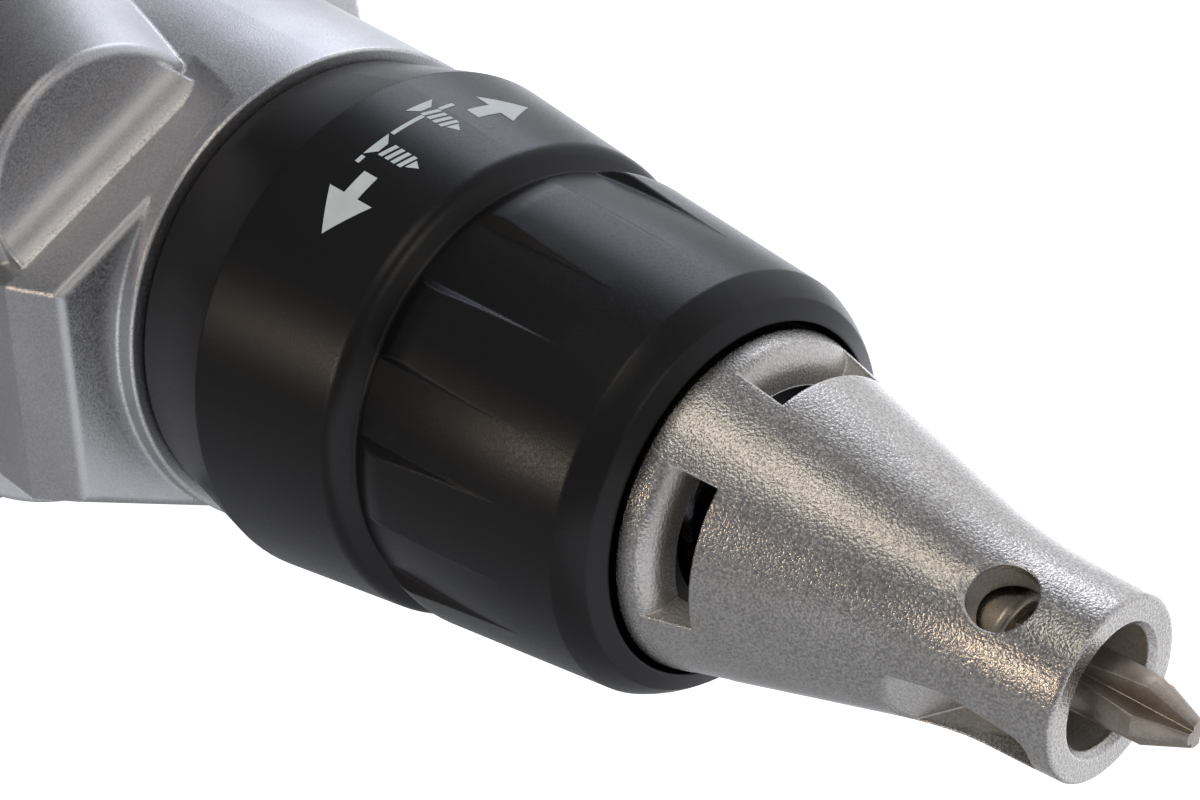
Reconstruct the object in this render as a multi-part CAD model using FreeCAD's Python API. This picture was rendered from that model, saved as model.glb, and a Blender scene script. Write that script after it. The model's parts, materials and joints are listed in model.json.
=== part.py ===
import FreeCAD, Part
import math
import os

# Drywall screwdriver. Sizes are millimetres and degrees. The drive axis is X and the bit points to +X,
# +Y is the tool's left side, +Z is up, and the origin is the middle of the nose's flat front ring.

Vec = FreeCAD.Vector
ALONG_X = Vec(1, 0, 0)
ALONG_Y = Vec(0, 1, 0)
ALONG_Z = Vec(0, 0, 1)
FULL_TURN = 360.0

# Fits
run_fit = 0.05          # radial, shaft in bush
slide_fit = 0.1         # radial, sleeve on tube
seat_gap = 0.1          # piece in its pocket
air = 0.4               # pieces that pass each other
past = 1.0              # how far a cutter runs out of the stock

# Nose cone
nose_ring_r = 8.25
nose_neck_end = -11.85   # where the neck's line meets the cone's
nose_neck_r = 8.82
nose_blend_len = 4.8
nose_skirt_r = 16.35
nose_skirt_start = -39.2
nose_rear = -50.8
nose_bore_r = 5.5
nose_bore_chamfer = 0.55
nose_bore_end = -14.0
nose_socket_r = 12.2
nose_socket_start = -33.0
nose_edge_round = 0.35
nose_turn = 12.3        # the nose's windows are turned this far above the tool's right side
window_count = 4
window_rear = -36.3
window_front = -32.5
window_angle = 53.5
window_round = 2.6      # rear edge of each window
sight_hole_r = 3.0
sight_hole_x = -8.1
sight_hole_chamfer = 0.4
slot_front = -2.2
slot_front_half = 2.5
slot_rear = -10.2
slot_rear_half = 3.9
slot_corner_r = 1.6
ramp_rear = -16.4       # the slot's rear end slopes out from here
ramp_rear_height = 10.3
ramp_front_height = 4.1

# Bit and its holder
hex_af = 6.35
hex_fit = 0.06
bit_tip_x = 7.8
bit_len = 25.0
bit_tip_r = 1.15
bit_cone_len = 4.2
bit_wing_r = 2.95
bit_wing_len = 8.2
bit_neck_r = 2.5
bit_hex_len = 11.5
bit_flute_tip_r = 0.7
bit_flute_rise = 8.0    # slope of the flute floor, in degrees
bit_flute_open = 86.0   # opening of the flute, in degrees
holder_r = 4.95
holder_front = -8.5
holder_rear = -33.0
holder_round = 0.8
holder_shank_len = 23.0
magnet_r = 2.6
magnet_len = 4.0

# Spindle and clutch
spindle_r = 7.0
spindle_front = -33.4
spindle_chamfer = 0.8
clip_x = -40.0
clip_wire_r = 0.6
clip_gap_angle = 50.0
flange_front = -99.0
flange_len = 4.0
flange_r = 12.4
dog_count = 3
dog_angle = 44.0
dog_inner_r = 8.8
dog_len = 2.0
clutch_gap = 3.0        # between the two sets of dogs with the spindle forward
pilot_r = 4.0
pilot_end = -127.0
washer_len = 1.1
washer_play = 0.15
bush_wall = 2.0
front_bush = (-74.0, -60.5)
rear_bush = (-97.0, -84.0)
clutch_coil_r = 6.6
clutch_wire_r = 0.5
clutch_turns = 2.5

# Gear pair
gear_module = 0.7
gear_teeth = 39
pinion_teeth = 11
pressure_angle = 25.0
gear_addendum = 0.85    # in modules
gear_dedendum = 1.25    # in modules
gear_backlash = 0.12
gear_width = 10.0
pinion_overlap = 1.0    # the pinion is this much longer than the gear at each end
gear_hub_r = 5.0
gear_hub_len = 9.0
pinion_bore_r = 1.8
axis_drop = gear_module * (gear_teeth + pinion_teeth) / 2.0
motor_z = -axis_drop

# Ball bearings: bore radius, outer radius, width
gear_bearing_r = 11.0
motor_bearing_bore_r = 3.5
motor_bearing_r = 9.5
bearing_width = 6.0
motor_bearing_boss = 3.5
ball_count = 8

# Depth collar
collar_front = -39.5
lip_inner_r = 17.0
lip_crease_x = -40.3
lip_crease_r = 18.85
lip_bend_x = -41.9
lip_bend_r = 20.0
lip_land_x = -40.5
grip_start = -43.0
grip_start_r = 20.55
grip_end = -64.6
grip_end_r = 23.39
pad_round_len = 2.2
valley_front = -66.9
valley_rear = -67.4
valley_r = 22.0
band_front = -68.6
band_front_r = 24.2
band_round_len = 0.9
bulge_x = -85.3
bulge_r = 26.75
collar_rear = -96.4
collar_rear_r = 24.8
pad_count = 9
flute_angle = 18.6      # at the floor
flute_mouth_angle = 36.0   # at the cutter's outer end
flute_clock = 0.8
flute_rear_r = 22.06
flute_fade_x = -46.5
flute_run_out = 0.03    # how far the floor ends above the pads
flute_stations = 4
collar_thread_r = 18.6
collar_thread_front = -50.5
collar_shoulder = -82.6

# Depth sleeve and neck of the gear case
sleeve_clear = 0.3
sleeve_front = -38.7
sleeve_web_front = -50.9
sleeve_ring_front = -54.0
sleeve_rear = -78.0
spigot_wall = 2.6
snap_wire_r = 0.6
snap_x = -46.0
key_width = 4.0
key_depth = 1.4
neck_tube_r = 15.0
neck_front = -60.0
neck_boss_r = 22.0
neck_boss_front = -83.0
neck_ring_x = -97.0
neck_ring_r = 26.0
collar_clip_x = -91.0
collar_clip_wire_r = 0.7
detent_ball_r = 1.4
detent_circle_r = 20.3
detent_stick_out = 1.3
detent_pocket_len = 6.5
detent_wire_r = 0.25
detent_turns = 4.0

# Gear case
case_rear = -133.0
case_top_r = 28.5
shoulder_x = -99.0
case_step_x = -105.0
boss_front = -107.6
slant_top_y = 15.0      # how near to the middle the slanted face comes at the shoulder
slant_boss_y = 12.0     # and at the boss
slant_top_lean = 4.5
slant_fade_x = -118.0   # beside the boss the slanted face runs out up to here
slant_fade_rise = 2.4
boss_y = 19.7
boss_z = 15.0
boss_r = 13.9
boss_hollow_tilt = 25.0   # where the rounding at the boss's foot ends
boss_hollow_step = 0.35
edge_round = 1.0
case_front_half = ((11.0, 21.9), (31.8, 9.9), (31.8, -13.0), (16.0, -20.3), (8.0, -22.5))
case_step_half = ((10.5, 23.0), (34.0, 9.5), (34.0, -14.3), (20.0, -20.5), (10.0, -24.6))
case_step_left = ((10.0, 23.2), (31.5, 9.6), (34.0, -14.3), (20.0, -20.5), (10.0, -24.6))
case_rear_half = ((10.5, 26.0), (30.8, 7.5), (33.0, -14.3), (20.0, -30.5), (10.0, -33.5))
boss_rear = -129.0
boss_rear_y = 11.0      # the boss leans to the middle on its way back
boss_rear_z = 15.5
case_high_y = 14.0
case_high_z = 12.0
case_high_r = 16.5
case_low_y = 9.4
case_low_z = -9.9
case_low_r = 24.6
flange_len_x = 2.5
cavity_gap = 1.0

# Bearing plate
plate_front_gap = 1.5   # behind the gear
plate_rim_len = 3.6
plate_lip_len = 1.6     # the shells hook over the rim by this much
plate_upper_r = 17.0
plate_lower_r = 8.5
plate_screws_top = (21.5, 9.5)    # half spacing and height
plate_screws_low = (22.0, -18.0)
plate_screw_r = 2.0
plate_screw_len = 20.0
plate_screw_head_r = 3.8
plate_screw_head = 2.6

# Motor
shaft_r = 4.0
shaft_rear = -254.0
fan_front = -152.0
fan_rear = -161.0
fan_r = 22.0
fan_hub_r = 7.0
fan_disc = 2.0
fan_blades = 12
fan_blade = 1.4
core_front = -169.0
core_rear = -214.0
core_r = 17.0
core_slots = 12
core_slot_width = 2.4
core_slot_depth = 6.0
winding_reach = 7.0
winding_r = 15.2
winding_inner_r = 6.0
stator_air = 0.6
stator_r = 27.0
stator_yoke = 4.6
pole_angle = 116.0
coil_angle = 172.0
coil_reach = 6.0
coil_gap = 0.3
comm_front = -224.0
comm_rear = -238.0
comm_r = 11.0
comm_bars = 24
comm_slit = 0.5
comm_slit_depth = 1.2
brush_x_len = 8.0
brush_z_len = 6.4
brush_out = 22.5
brush_wall = 0.8
brush_holder_in = 13.5
brush_holder_out = 27.5
brush_coil_r = 2.2
brush_wire_r = 0.35
brush_turns = 3.0
motor_rear_bearing = -246.0

# Housing shells
shell_wall = 2.8
shell_mouth_x = -137.0
shell_barrel_x = -160.0
shell_rear = -267.0
shell_rear_round = 9.0
barrel_top_y = 15.0
barrel_high_z = -4.0
barrel_high_r = 17.0
barrel_low_y = 7.0
barrel_low_z = -24.5
barrel_low_r = 25.0
rib_reach = 45.0        # ribs run out to the shell's wall
handle_top_z = -33.0
handle_neck_z = -63.0
handle_low_z = -139.0
handle_base_z = -163.0
handle_top_x = -227.0
handle_tilt = 9.5
handle_depth = 44.0
handle_width = 35.0
handle_corner = 14.0
handle_base_grow = 5.0
stator_rib = 3.0
shell_screw_r = 1.75
shell_screw_len = 24.0
shell_screw_head_r = 3.4
shell_screw_head = 2.4
shell_boss_r = 4.2
shell_screws = ((-145.0, 15.0), (-258.0, -4.0), (-258.0, -34.0), (-225.0, -102.0), (-233.0, -143.0))
screw_drive_r = 1.6
vent_count = 5
vent_height = 3.0
vent_pitch = 7.0
vent_length = 11.0
grip_skin = 1.6
grip_top_z = -63.0
grip_low_z = -141.0
grip_front_offset = 4.0  # the rubber begins this far in front of the handle's middle line

# Switch group
switch_front = -225.5
switch_rear = -248.0
switch_half_width = 8.5
switch_bottom = -94.0
trigger_travel = 6.0
trigger_half_width = 8.8
trigger_top = -60.5
trigger_bottom = -88.0
trigger_reach = 10.0    # in front of the handle
trigger_hollow = 3.5
trigger_back_gap = 6.6  # from the trigger's back to the switch
stem_half = 3.5
stem_len = 16.0
trigger_coil_r = 6.0
trigger_wire_r = 0.5
trigger_turns = 2.5
dial_r = 5.2
dial_len = 4.0
dial_notches = 12
dial_z = -67.0
dial_pin_r = 2.0
lever_pivot_x = -231.0
lever_reach = 36.0
lever_half_width = 3.0
lever_top = -52.4
lever_thick = 3.6
lever_pin_r = 2.0
lever_pin_len = 5.0
lever_swing = 10.0
lock_x = -237.0
lock_z = -75.0
lock_r = 5.0
lock_flange = 1.4
lock_flange_len = 1.4
lock_stick_out = 2.4
lock_wire_r = 0.3
lock_coil_r = 3.4
lock_turns = 2.0

# Handle end and belt hook
gland_bore_r = 4.1
gland_r = 8.0
gland_flange_r = 10.0
gland_flange = 3.0
gland_out = 5.0
gland_in = 14.0
clamp_z = -133.0
clamp_len = 24.0
clamp_width = 8.0
clamp_thick = 4.0
clamp_x = -249.0
clamp_screw_pitch = 16.0
clamp_screw_r = 1.4
clamp_screw_head_r = 2.6
clamp_screw_head = 1.8
clamp_screw_len = 9.0
capacitor_size = (20.0, 8.0, 14.0)
capacitor_x = -239.0
capacitor_z = -111.0
hook_width = 20.0
hook_thick = 2.0
hook_gap = 9.0
hook_root_x = -256.0
hook_root_len = 20.0
hook_tip_x = -184.0
hook_lip = 8.0
hook_screw_y = 6.0
hook_screw_r = 2.0
hook_screw_head_r = 3.6
hook_screw_head = 2.2
hook_screw_len = 11.0
hook_boss_r = 4.0

# Worked-out places
flange_rear = flange_front - flange_len
dog_rear = flange_rear - dog_len
gear_front = dog_rear - clutch_gap - dog_len
gear_rear = gear_front - gear_width
hub_rear = gear_rear - gear_hub_len
plate_front = gear_rear - plate_front_gap
motor_front_bearing = case_rear - plate_rim_len / 2
gear_bearing_front = plate_front - seat_gap
gear_pitch_r = gear_module * gear_teeth / 2.0
gear_tip_r = gear_pitch_r + gear_addendum * gear_module
cavity_front = flange_front + washer_len + 2.0 * washer_play
cavity_r = gear_tip_r + cavity_gap
pinion_tip_r = gear_module * (pinion_teeth / 2.0 + gear_addendum)
bit_rear = bit_tip_x - bit_len
bit_shoulder = bit_tip_x - bit_cone_len
bush_r = spindle_r + bush_wall
sleeve_bore_r = neck_tube_r + slide_fit
sleeve_r = collar_thread_r - sleeve_clear
spigot_r = nose_socket_r - slide_fit
collar_bore_r = neck_boss_r + run_fit
commutator_mid = (comm_front + comm_rear) / 2.0
barrel_top_z = barrel_high_z + barrel_high_r
motor_wall_r = motor_z - barrel_low_z + barrel_low_r - past
switch_top = lever_top - lever_thick - seat_gap
handle_lean = math.tan(math.radians(handle_tilt))


# Shape helpers
def trace(steps, place):
    # a closed outline; a step is a point, or an arc as (point passed, end point)
    edges = []
    here = steps[0]
    closing = [] if steps[-1][-1] == steps[0] else [steps[0]]
    for step in list(steps[1:]) + closing:
        if isinstance(step[0], tuple):
            via, there = step
            edges.append(Part.Arc(place(*here), place(*via), place(*there)).toShape())
        else:
            there = step
            edges.append(Part.LineSegment(place(*here), place(*there)).toShape())
        here = there
    return Part.Wire(edges)


def rounded(before, corner, after, length):
    # the two steps that round a corner, starting this length before it and ending as far after it
    middle = Vec(corner[0], corner[1], 0)
    back = (Vec(before[0], before[1], 0) - middle).normalize()
    ahead = (Vec(after[0], after[1], 0) - middle).normalize()
    half = back.getAngle(ahead) / 2.0
    via = middle + (back + ahead).normalize() * (length * (1 - math.sin(half)) / math.cos(half))
    start = middle + back * length
    end = middle + ahead * length
    return [(start.x, start.y), ((via.x, via.y), (end.x, end.y))]


def turned(steps, z=0.0, sweep=FULL_TURN, clock=0.0):
    # steps are (x, radius); a part turn is centred on the clock angle, 0 at the right side, 90 on top
    face = Part.Face(trace(steps, lambda x, r: Vec(x, 0, z + r)))
    solid = face.revolve(Vec(0, 0, z), ALONG_X, sweep)
    if sweep < FULL_TURN:
        solid.rotate(Vec(0, 0, z), ALONG_X, 90.0 - clock - sweep / 2.0)
    return solid


def rod(x0, x1, r, y=0.0, z=0.0):
    return Part.makeCylinder(r, abs(x1 - x0), Vec(min(x0, x1), y, z), ALONG_X)


def tube(x0, x1, r, bore_r, y=0.0, z=0.0):
    return rod(x0, x1, r, y, z).cut(rod(min(x0, x1) - past, max(x0, x1) + past, bore_r, y, z))


def cross_rod(x, z, y0, y1, r):
    return Part.makeCylinder(r, abs(y1 - y0), Vec(x, min(y0, y1), z), ALONG_Y)


def post(x, y, z0, z1, r):
    return Part.makeCylinder(r, abs(z1 - z0), Vec(x, y, min(z0, z1)), ALONG_Z)


def block(x0, x1, y0, y1, z0, z1):
    corner = Vec(min(x0, x1), min(y0, y1), min(z0, z1))
    return Part.makeBox(abs(x1 - x0), abs(y1 - y0), abs(z1 - z0), corner)


def hex_bar(x0, x1, across_flats):
    corner = across_flats / math.sqrt(3.0)
    points = [Vec(x0, corner * math.cos(k * math.pi / 3), corner * math.sin(k * math.pi / 3))
              for k in range(7)]
    return Part.Face(Part.makePolygon(points)).extrude(Vec(x1 - x0, 0, 0))


def fused(shapes):
    return shapes[0].multiFuse(shapes[1:]).removeSplitter()


def clocked(shape, clock, z=0.0):
    # turns a shape that was made pointing up to the clock angle
    turned_shape = shape.copy()
    turned_shape.rotate(Vec(0, 0, z), ALONG_X, 90.0 - clock)
    return turned_shape


def mirrored(shape):
    return shape.mirror(Vec(0, 0, 0), ALONG_Y)


def ring_wire(x, mean_r, wire_r, gap_angle=0.0, clock=-90.0):
    ring = Part.makeTorus(mean_r, wire_r, Vec(x, 0, 0), ALONG_X, -180, 180, FULL_TURN - gap_angle)
    ring.rotate(Vec(0, 0, 0), ALONG_X, gap_angle / 2.0 - clock)
    return ring


def arc_edge(start, corner, end):
    middle = (start + end) * 0.5
    half = (end - start).Length / 2.0
    rise = corner - middle
    half_turn = math.atan2(rise.Length, half)
    sagitta = half * math.tan(half_turn / 2.0)
    return Part.Arc(start, middle + rise.normalize() * sagitta, end).toShape()


def coil(name, length, mean_r, wire_r, turns):
    # a wire helix along X from 0 to length, each quarter turn a pair of tangent arcs
    quarters = int(round(turns * 4))
    advance = (length - 2.0 * wire_r) / quarters
    rate = advance * 2.0 / math.pi

    def spot(angle):
        return Vec(wire_r + rate * angle, mean_r * math.cos(angle), mean_r * math.sin(angle))

    def heading(angle):
        return Vec(rate, -mean_r * math.sin(angle), mean_r * math.cos(angle)).normalize()

    edges = []
    for k in range(quarters):
        a, b = k * math.pi / 2, (k + 1) * math.pi / 2
        p, q, t, u = spot(a), spot(b), heading(a), heading(b)
        chord = q - p
        spread = 2.0 * (1.0 - t.dot(u))
        along = chord.dot(t + u)
        reach = (math.sqrt(along ** 2 + spread * chord.dot(chord)) - along) / spread
        first, last = p + t * reach, q - u * reach
        joint = (first + last) * 0.5
        edges += [arc_edge(p, first, joint), arc_edge(joint, last, q)]
    wire_end = Part.Wire(Part.Circle(spot(0.0), heading(0.0), wire_r).toShape())
    solid = Part.Wire(edges).makePipeShell([wire_end], True, False)
    samples = 24
    points = [spot(k * 2 * math.pi / samples) for k in range(int(turns * samples) + 1)]
    apart = samples * 3 // 4
    gaps = [(a - b).Length for i, a in enumerate(points) for b in points[i + apart:]]
    print(name, "least gap", round(min(gaps) - 2.0 * wire_r, 2))
    return solid


def bearing(x_front, z, bore_r, outer_r, width):
    # returns the outer ring, and the inner ring with its balls
    span = outer_r - bore_r
    ball_r = 0.26 * span
    ring = 0.27 * span
    mid_r = (outer_r + bore_r) / 2.0
    mid_x = x_front - width / 2.0
    race = Part.makeTorus(mid_r, ball_r + run_fit, Vec(mid_x, 0, z), ALONG_X)
    outer = tube(x_front, x_front - width, outer_r, outer_r - ring, z=z).cut(race)
    inner = tube(x_front, x_front - width, bore_r + ring, bore_r, z=z).cut(race)
    ball = Part.makeSphere(ball_r, Vec(mid_x, 0, z + mid_r))
    balls = [clocked(ball, k * FULL_TURN / ball_count, z) for k in range(ball_count)]
    return outer, Part.Compound([inner] + balls)


def screw(length, r, head_r, head):
    # points to -X with its head's underside at 0
    body = rod(-length, 0, r).fuse(rod(0, head, head_r))
    drive = hex_bar(head * 0.4, head + past, min(screw_drive_r, head_r * 0.6) * math.sqrt(3.0))
    return body.cut(drive).removeSplitter()


def placed(shape, spot, turn_axis=None, angle=0.0):
    copy = shape.copy()
    if turn_axis:
        copy.rotate(Vec(0, 0, 0), turn_axis, angle)
    copy.translate(spot)
    return copy


# Nose cone
def nose_cone():
    e = nose_edge_round
    bend = e * (1 - math.sqrt(0.5))
    ring = (-e, nose_ring_r)
    skirt = (nose_skirt_start, nose_skirt_r)
    body = turned(
        [(0, nose_bore_r + nose_bore_chamfer), (0, nose_ring_r - e), ((-bend, nose_ring_r - bend), ring)]
        + rounded(ring, (nose_neck_end, nose_neck_r), skirt, nose_blend_len)
        + [skirt, (nose_rear, nose_skirt_r), (nose_rear, nose_socket_r), (nose_socket_start, nose_socket_r),
           (nose_bore_end, nose_bore_r), (-nose_bore_chamfer, nose_bore_r)])
    snap_half = snap_wire_r + run_fit
    snap_groove_r = nose_socket_r + snap_wire_r + run_fit
    cutters = [tube(snap_x - snap_half, snap_x + snap_half, snap_groove_r, spigot_r)]
    reach_r = nose_skirt_r + past
    cone_slope = (nose_skirt_r - nose_neck_r) / (nose_neck_end - nose_skirt_start)
    window_edge_x = window_rear - window_round
    window_edge_r = nose_skirt_r - cone_slope * (window_edge_x - nose_skirt_start)
    window = [(window_rear, bush_r)]
    window += rounded((window_rear, bush_r), (window_rear, window_edge_r), (window_edge_x, window_edge_r),
                      window_round - past / 100)
    window += [(window_edge_x, window_edge_r), (window_edge_x, reach_r), (window_front, reach_r),
               (window_front, bush_r)]
    for k in range(window_count):
        cutters.append(turned(window, 0.0, window_angle, nose_turn + k * FULL_TURN / window_count))
    diagonal = nose_turn + FULL_TURN / window_count / 2.0
    hole = post(sight_hole_x, 0, 0, reach_r, sight_hole_r)
    sink_top = nose_neck_r + sight_hole_chamfer
    sink = Part.makeCone(sight_hole_r - sight_hole_chamfer, sight_hole_r + 2 * sight_hole_chamfer,
                         3 * sight_hole_chamfer,
                         Vec(sight_hole_x, 0, sink_top - 3 * sight_hole_chamfer), ALONG_Z)
    cutters.append(clocked(hole.fuse(sink), diagonal))
    corners = [(slot_rear, -slot_rear_half), (slot_front, -slot_front_half), (slot_front, slot_front_half),
               (slot_rear, slot_rear_half)]
    outline = [corners[0]] + rounded(corners[0], corners[1], corners[2], slot_corner_r)
    outline += rounded(corners[1], corners[2], corners[3], slot_corner_r) + [corners[3]]
    slot = Part.Face(trace(outline, lambda x, y: Vec(x, y, 0))).extrude(Vec(0, 0, reach_r))
    side = trace([(ramp_rear, ramp_rear_height), (slot_rear, ramp_front_height), (slot_rear, reach_r),
                  (ramp_rear, reach_r)], lambda x, z: Vec(x, -slot_rear_half, z))
    ramp = Part.Face(side).extrude(Vec(0, 2 * slot_rear_half, 0))
    cutters += [clocked(slot, diagonal - 90.0), clocked(ramp, diagonal - 90.0)]
    return body.cut(cutters)


# Bit, holder and spindle
def bit():
    hex_end = bit_rear + bit_hex_len
    wing_rear = bit_shoulder - bit_wing_len
    body = turned([
        (hex_end, 0), (hex_end, bit_neck_r), (wing_rear, bit_neck_r), (wing_rear + 1, bit_wing_r),
        (bit_shoulder, bit_wing_r), (bit_tip_x, bit_tip_r), (bit_tip_x, 0)])
    side = 2 * bit_wing_r * math.tan(math.radians(bit_flute_open / 2))
    far = 2 * bit_wing_r
    wedge = Part.Face(Part.makePolygon([Vec(0, 0, 0), Vec(0, side, far), Vec(0, -side, far),
                                        Vec(0, 0, 0)]))
    flute = wedge.extrude(Vec(-2 * bit_len, 0, 0))
    flute.rotate(Vec(0, 0, 0), ALONG_Y, bit_flute_rise)
    flute.translate(Vec(bit_tip_x + past, 0,
                        bit_flute_tip_r - past * math.tan(math.radians(bit_flute_rise))))
    flutes = [clocked(flute, 45.0 + 90.0 * k) for k in range(4)]
    return fused([body.cut(flutes), hex_bar(bit_rear, hex_end, hex_af)])


def bit_holder():
    socket_end = bit_rear - seat_gap
    e = holder_round
    body = turned([
        (holder_front, 0), (holder_front, holder_r - e),
        ((holder_front - e * (1 - math.sqrt(0.5)), holder_r - e * (1 - math.sqrt(0.5))),
         (holder_front - e, holder_r)),
        (holder_rear, holder_r), (holder_rear, 0)])
    shank = hex_bar(holder_rear - holder_shank_len, holder_rear, hex_af)
    socket = hex_bar(socket_end, holder_front + past, hex_af + 2 * hex_fit)
    magnet_hole = rod(socket_end - magnet_len, socket_end + past, magnet_r + seat_gap)
    return fused([body, shank]).cut([socket, magnet_hole])


def holder_magnet():
    return rod(bit_rear - seat_gap - magnet_len, bit_rear - seat_gap, magnet_r)


def dogs(x0, x1, clock):
    step = FULL_TURN / dog_count
    outline = [(x0, dog_inner_r), (x0, flange_r), (x1, flange_r), (x1, dog_inner_r)]
    return [turned(outline, 0.0, dog_angle, clock + k * step) for k in range(dog_count)]


def spindle():
    c = spindle_chamfer
    groove = 2 * clip_wire_r
    body = turned([
        (spindle_front, 0), (spindle_front, spindle_r - c), (spindle_front - c, spindle_r),
        (flange_front, spindle_r), (flange_front, flange_r), (flange_rear, flange_r),
        (flange_rear, pilot_r), (pilot_end, pilot_r), (pilot_end, 0)])
    socket_end = holder_rear - holder_shank_len - seat_gap
    socket = hex_bar(socket_end, spindle_front + past, hex_af + 2 * hex_fit)
    clip_groove = tube(clip_x - groove / 2 - run_fit, clip_x + groove / 2 + run_fit, spindle_r + past,
                       spindle_r - clip_wire_r - run_fit)
    return fused([body] + dogs(dog_rear, flange_rear, 0.0)).cut([socket, clip_groove])


def bit_clip():
    return ring_wire(clip_x, spindle_r, clip_wire_r, clip_gap_angle)


def thrust_washer():
    front = flange_front + washer_len + washer_play
    return tube(front - washer_len, front, flange_r - past, spindle_r + run_fit)


def spindle_bush(span):
    return tube(span[0], span[1], bush_r, spindle_r + run_fit)


def clutch_spring():
    length = flange_rear - gear_front - 2 * seat_gap
    return placed(coil("clutch_spring", length, clutch_coil_r, clutch_wire_r, clutch_turns),
                  Vec(gear_front + seat_gap, 0, 0))


# Gear pair
def toothed(teeth, x0, x1, z, first_tooth):
    pitch_r = gear_module * teeth / 2.0
    press = math.radians(pressure_angle)
    base_r = pitch_r * math.cos(press)
    tip_r = pitch_r + gear_addendum * gear_module
    root_r = pitch_r - gear_dedendum * gear_module
    start_r = max(base_r, root_r)
    half_tooth = (math.pi * gear_module / 2.0 - gear_backlash) / (2.0 * pitch_r)

    def half_angle(r):
        lean = math.acos(base_r / r)
        return half_tooth + (math.tan(press) - press) - (math.tan(lean) - lean)

    def spot(r, angle):
        return Vec(x0, r * math.cos(angle), z + r * math.sin(angle))

    rises = [start_r + (tip_r - start_r) * k / 3.0 for k in range(4)]
    root_half = half_angle(start_r)
    corners = []
    edges = []
    for k in range(teeth):
        middle = math.radians(first_tooth + k * FULL_TURN / teeth)
        up, down = Part.BSplineCurve(), Part.BSplineCurve()
        up.interpolate([spot(r, middle - half_angle(r)) for r in rises])
        down.interpolate([spot(r, middle + half_angle(r)) for r in reversed(rises)])
        foot, heel = spot(root_r, middle - root_half), spot(root_r, middle + root_half)
        tip = Part.LineSegment(up.EndPoint, down.StartPoint).toShape()
        if start_r > root_r:
            edges.append(Part.LineSegment(foot, up.StartPoint).toShape())
        edges += [up.toShape(), tip, down.toShape()]
        if start_r > root_r:
            edges.append(Part.LineSegment(down.EndPoint, heel).toShape())
        corners.append((foot, heel))
    for k in range(teeth):
        edges.append(Part.LineSegment(corners[k][1], corners[(k + 1) % teeth][0]).toShape())
    outline = Part.Wire(Part.__sortEdges__(edges))
    return Part.Face(outline).extrude(Vec(x1 - x0, 0, 0))


def drive_gear():
    wheel = toothed(gear_teeth, gear_rear, gear_front, 0.0, -90.0 + 180.0 / gear_teeth)
    hub = rod(hub_rear, gear_rear, gear_hub_r)
    shape = fused([wheel, hub] + dogs(gear_front, gear_front + dog_len, 180.0 / dog_count))
    return shape.cut(rod(hub_rear - past, gear_front + past, pilot_r + run_fit))


def pinion():
    wheel = toothed(pinion_teeth, gear_rear - pinion_overlap, gear_front + pinion_overlap, motor_z, 90.0)
    return wheel.cut(rod(gear_rear - 2 * pinion_overlap, gear_front + 2 * pinion_overlap, pinion_bore_r,
                         z=motor_z))


# Depth setting
def flute_cutter():
    # the floor is deepest at the valley and runs out along a parabola
    rear = (valley_front + valley_rear) / 2.0
    pad_slope = (grip_end_r - grip_start_r) / (grip_end - grip_start)
    full_depth = grip_start_r + pad_slope * (rear - grip_start) - flute_rear_r + flute_run_out
    floor_half = math.radians(flute_angle / 2.0)
    mouth_half = math.radians(flute_mouth_angle / 2.0)
    mouth_r = bulge_r + past
    mouth_y, mouth_z = mouth_r * math.sin(mouth_half), mouth_r * math.cos(mouth_half)
    ends = []
    for k in range(flute_stations):
        along = k / (flute_stations - 1)
        x = rear + (flute_fade_x - rear) * along
        pad_r = grip_start_r + pad_slope * (x - grip_start)
        floor_r = pad_r + flute_run_out - full_depth * (1 - along) ** 2
        floor_y, floor_z = floor_r * math.sin(floor_half), floor_r * math.cos(floor_half)
        ends.append(trace([
            (-floor_y, floor_z), ((0, floor_r), (floor_y, floor_z)), (mouth_y, mouth_z),
            ((0, mouth_r), (-mouth_y, mouth_z))], lambda y, z: Vec(x, y, z)))
    return Part.makeLoft(ends, True, False)


def depth_collar():
    pad_front = (grip_start, grip_start_r)
    pad_rear = (grip_end, grip_end_r)
    floor = [(valley_front, valley_r), (valley_rear, valley_r)]
    band = (band_front, band_front_r)
    bulge = (bulge_x, bulge_r)
    outer = turned(
        [(collar_front, lip_inner_r), (lip_crease_x, lip_crease_r),
         ((lip_bend_x, lip_bend_r), pad_front)]
        + rounded(pad_front, pad_rear, floor[0], pad_round_len) + floor
        + rounded(floor[1], band, bulge, band_round_len)
        + [bulge, (collar_rear, collar_rear_r), (collar_rear, collar_bore_r),
           (collar_shoulder, collar_bore_r), (collar_shoulder, collar_thread_r),
           (collar_thread_front, collar_thread_r), (collar_thread_front, nose_skirt_r + air),
           (lip_land_x, nose_skirt_r + air)])
    flute = flute_cutter()
    step = FULL_TURN / pad_count
    flutes = [clocked(flute, flute_clock + step * (k + 0.5)) for k in range(pad_count)]
    clip_half = collar_clip_wire_r + slide_fit
    clip_groove = tube(collar_clip_x - clip_half, collar_clip_x + clip_half,
                       neck_boss_r + collar_clip_wire_r + slide_fit, collar_bore_r - past)
    ball_x = neck_boss_front + detent_stick_out - detent_ball_r
    track = Part.makeTorus(detent_circle_r, detent_ball_r + slide_fit, Vec(ball_x, 0, 0), ALONG_X)
    return outer.cut(flutes + [clip_groove, track])


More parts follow.
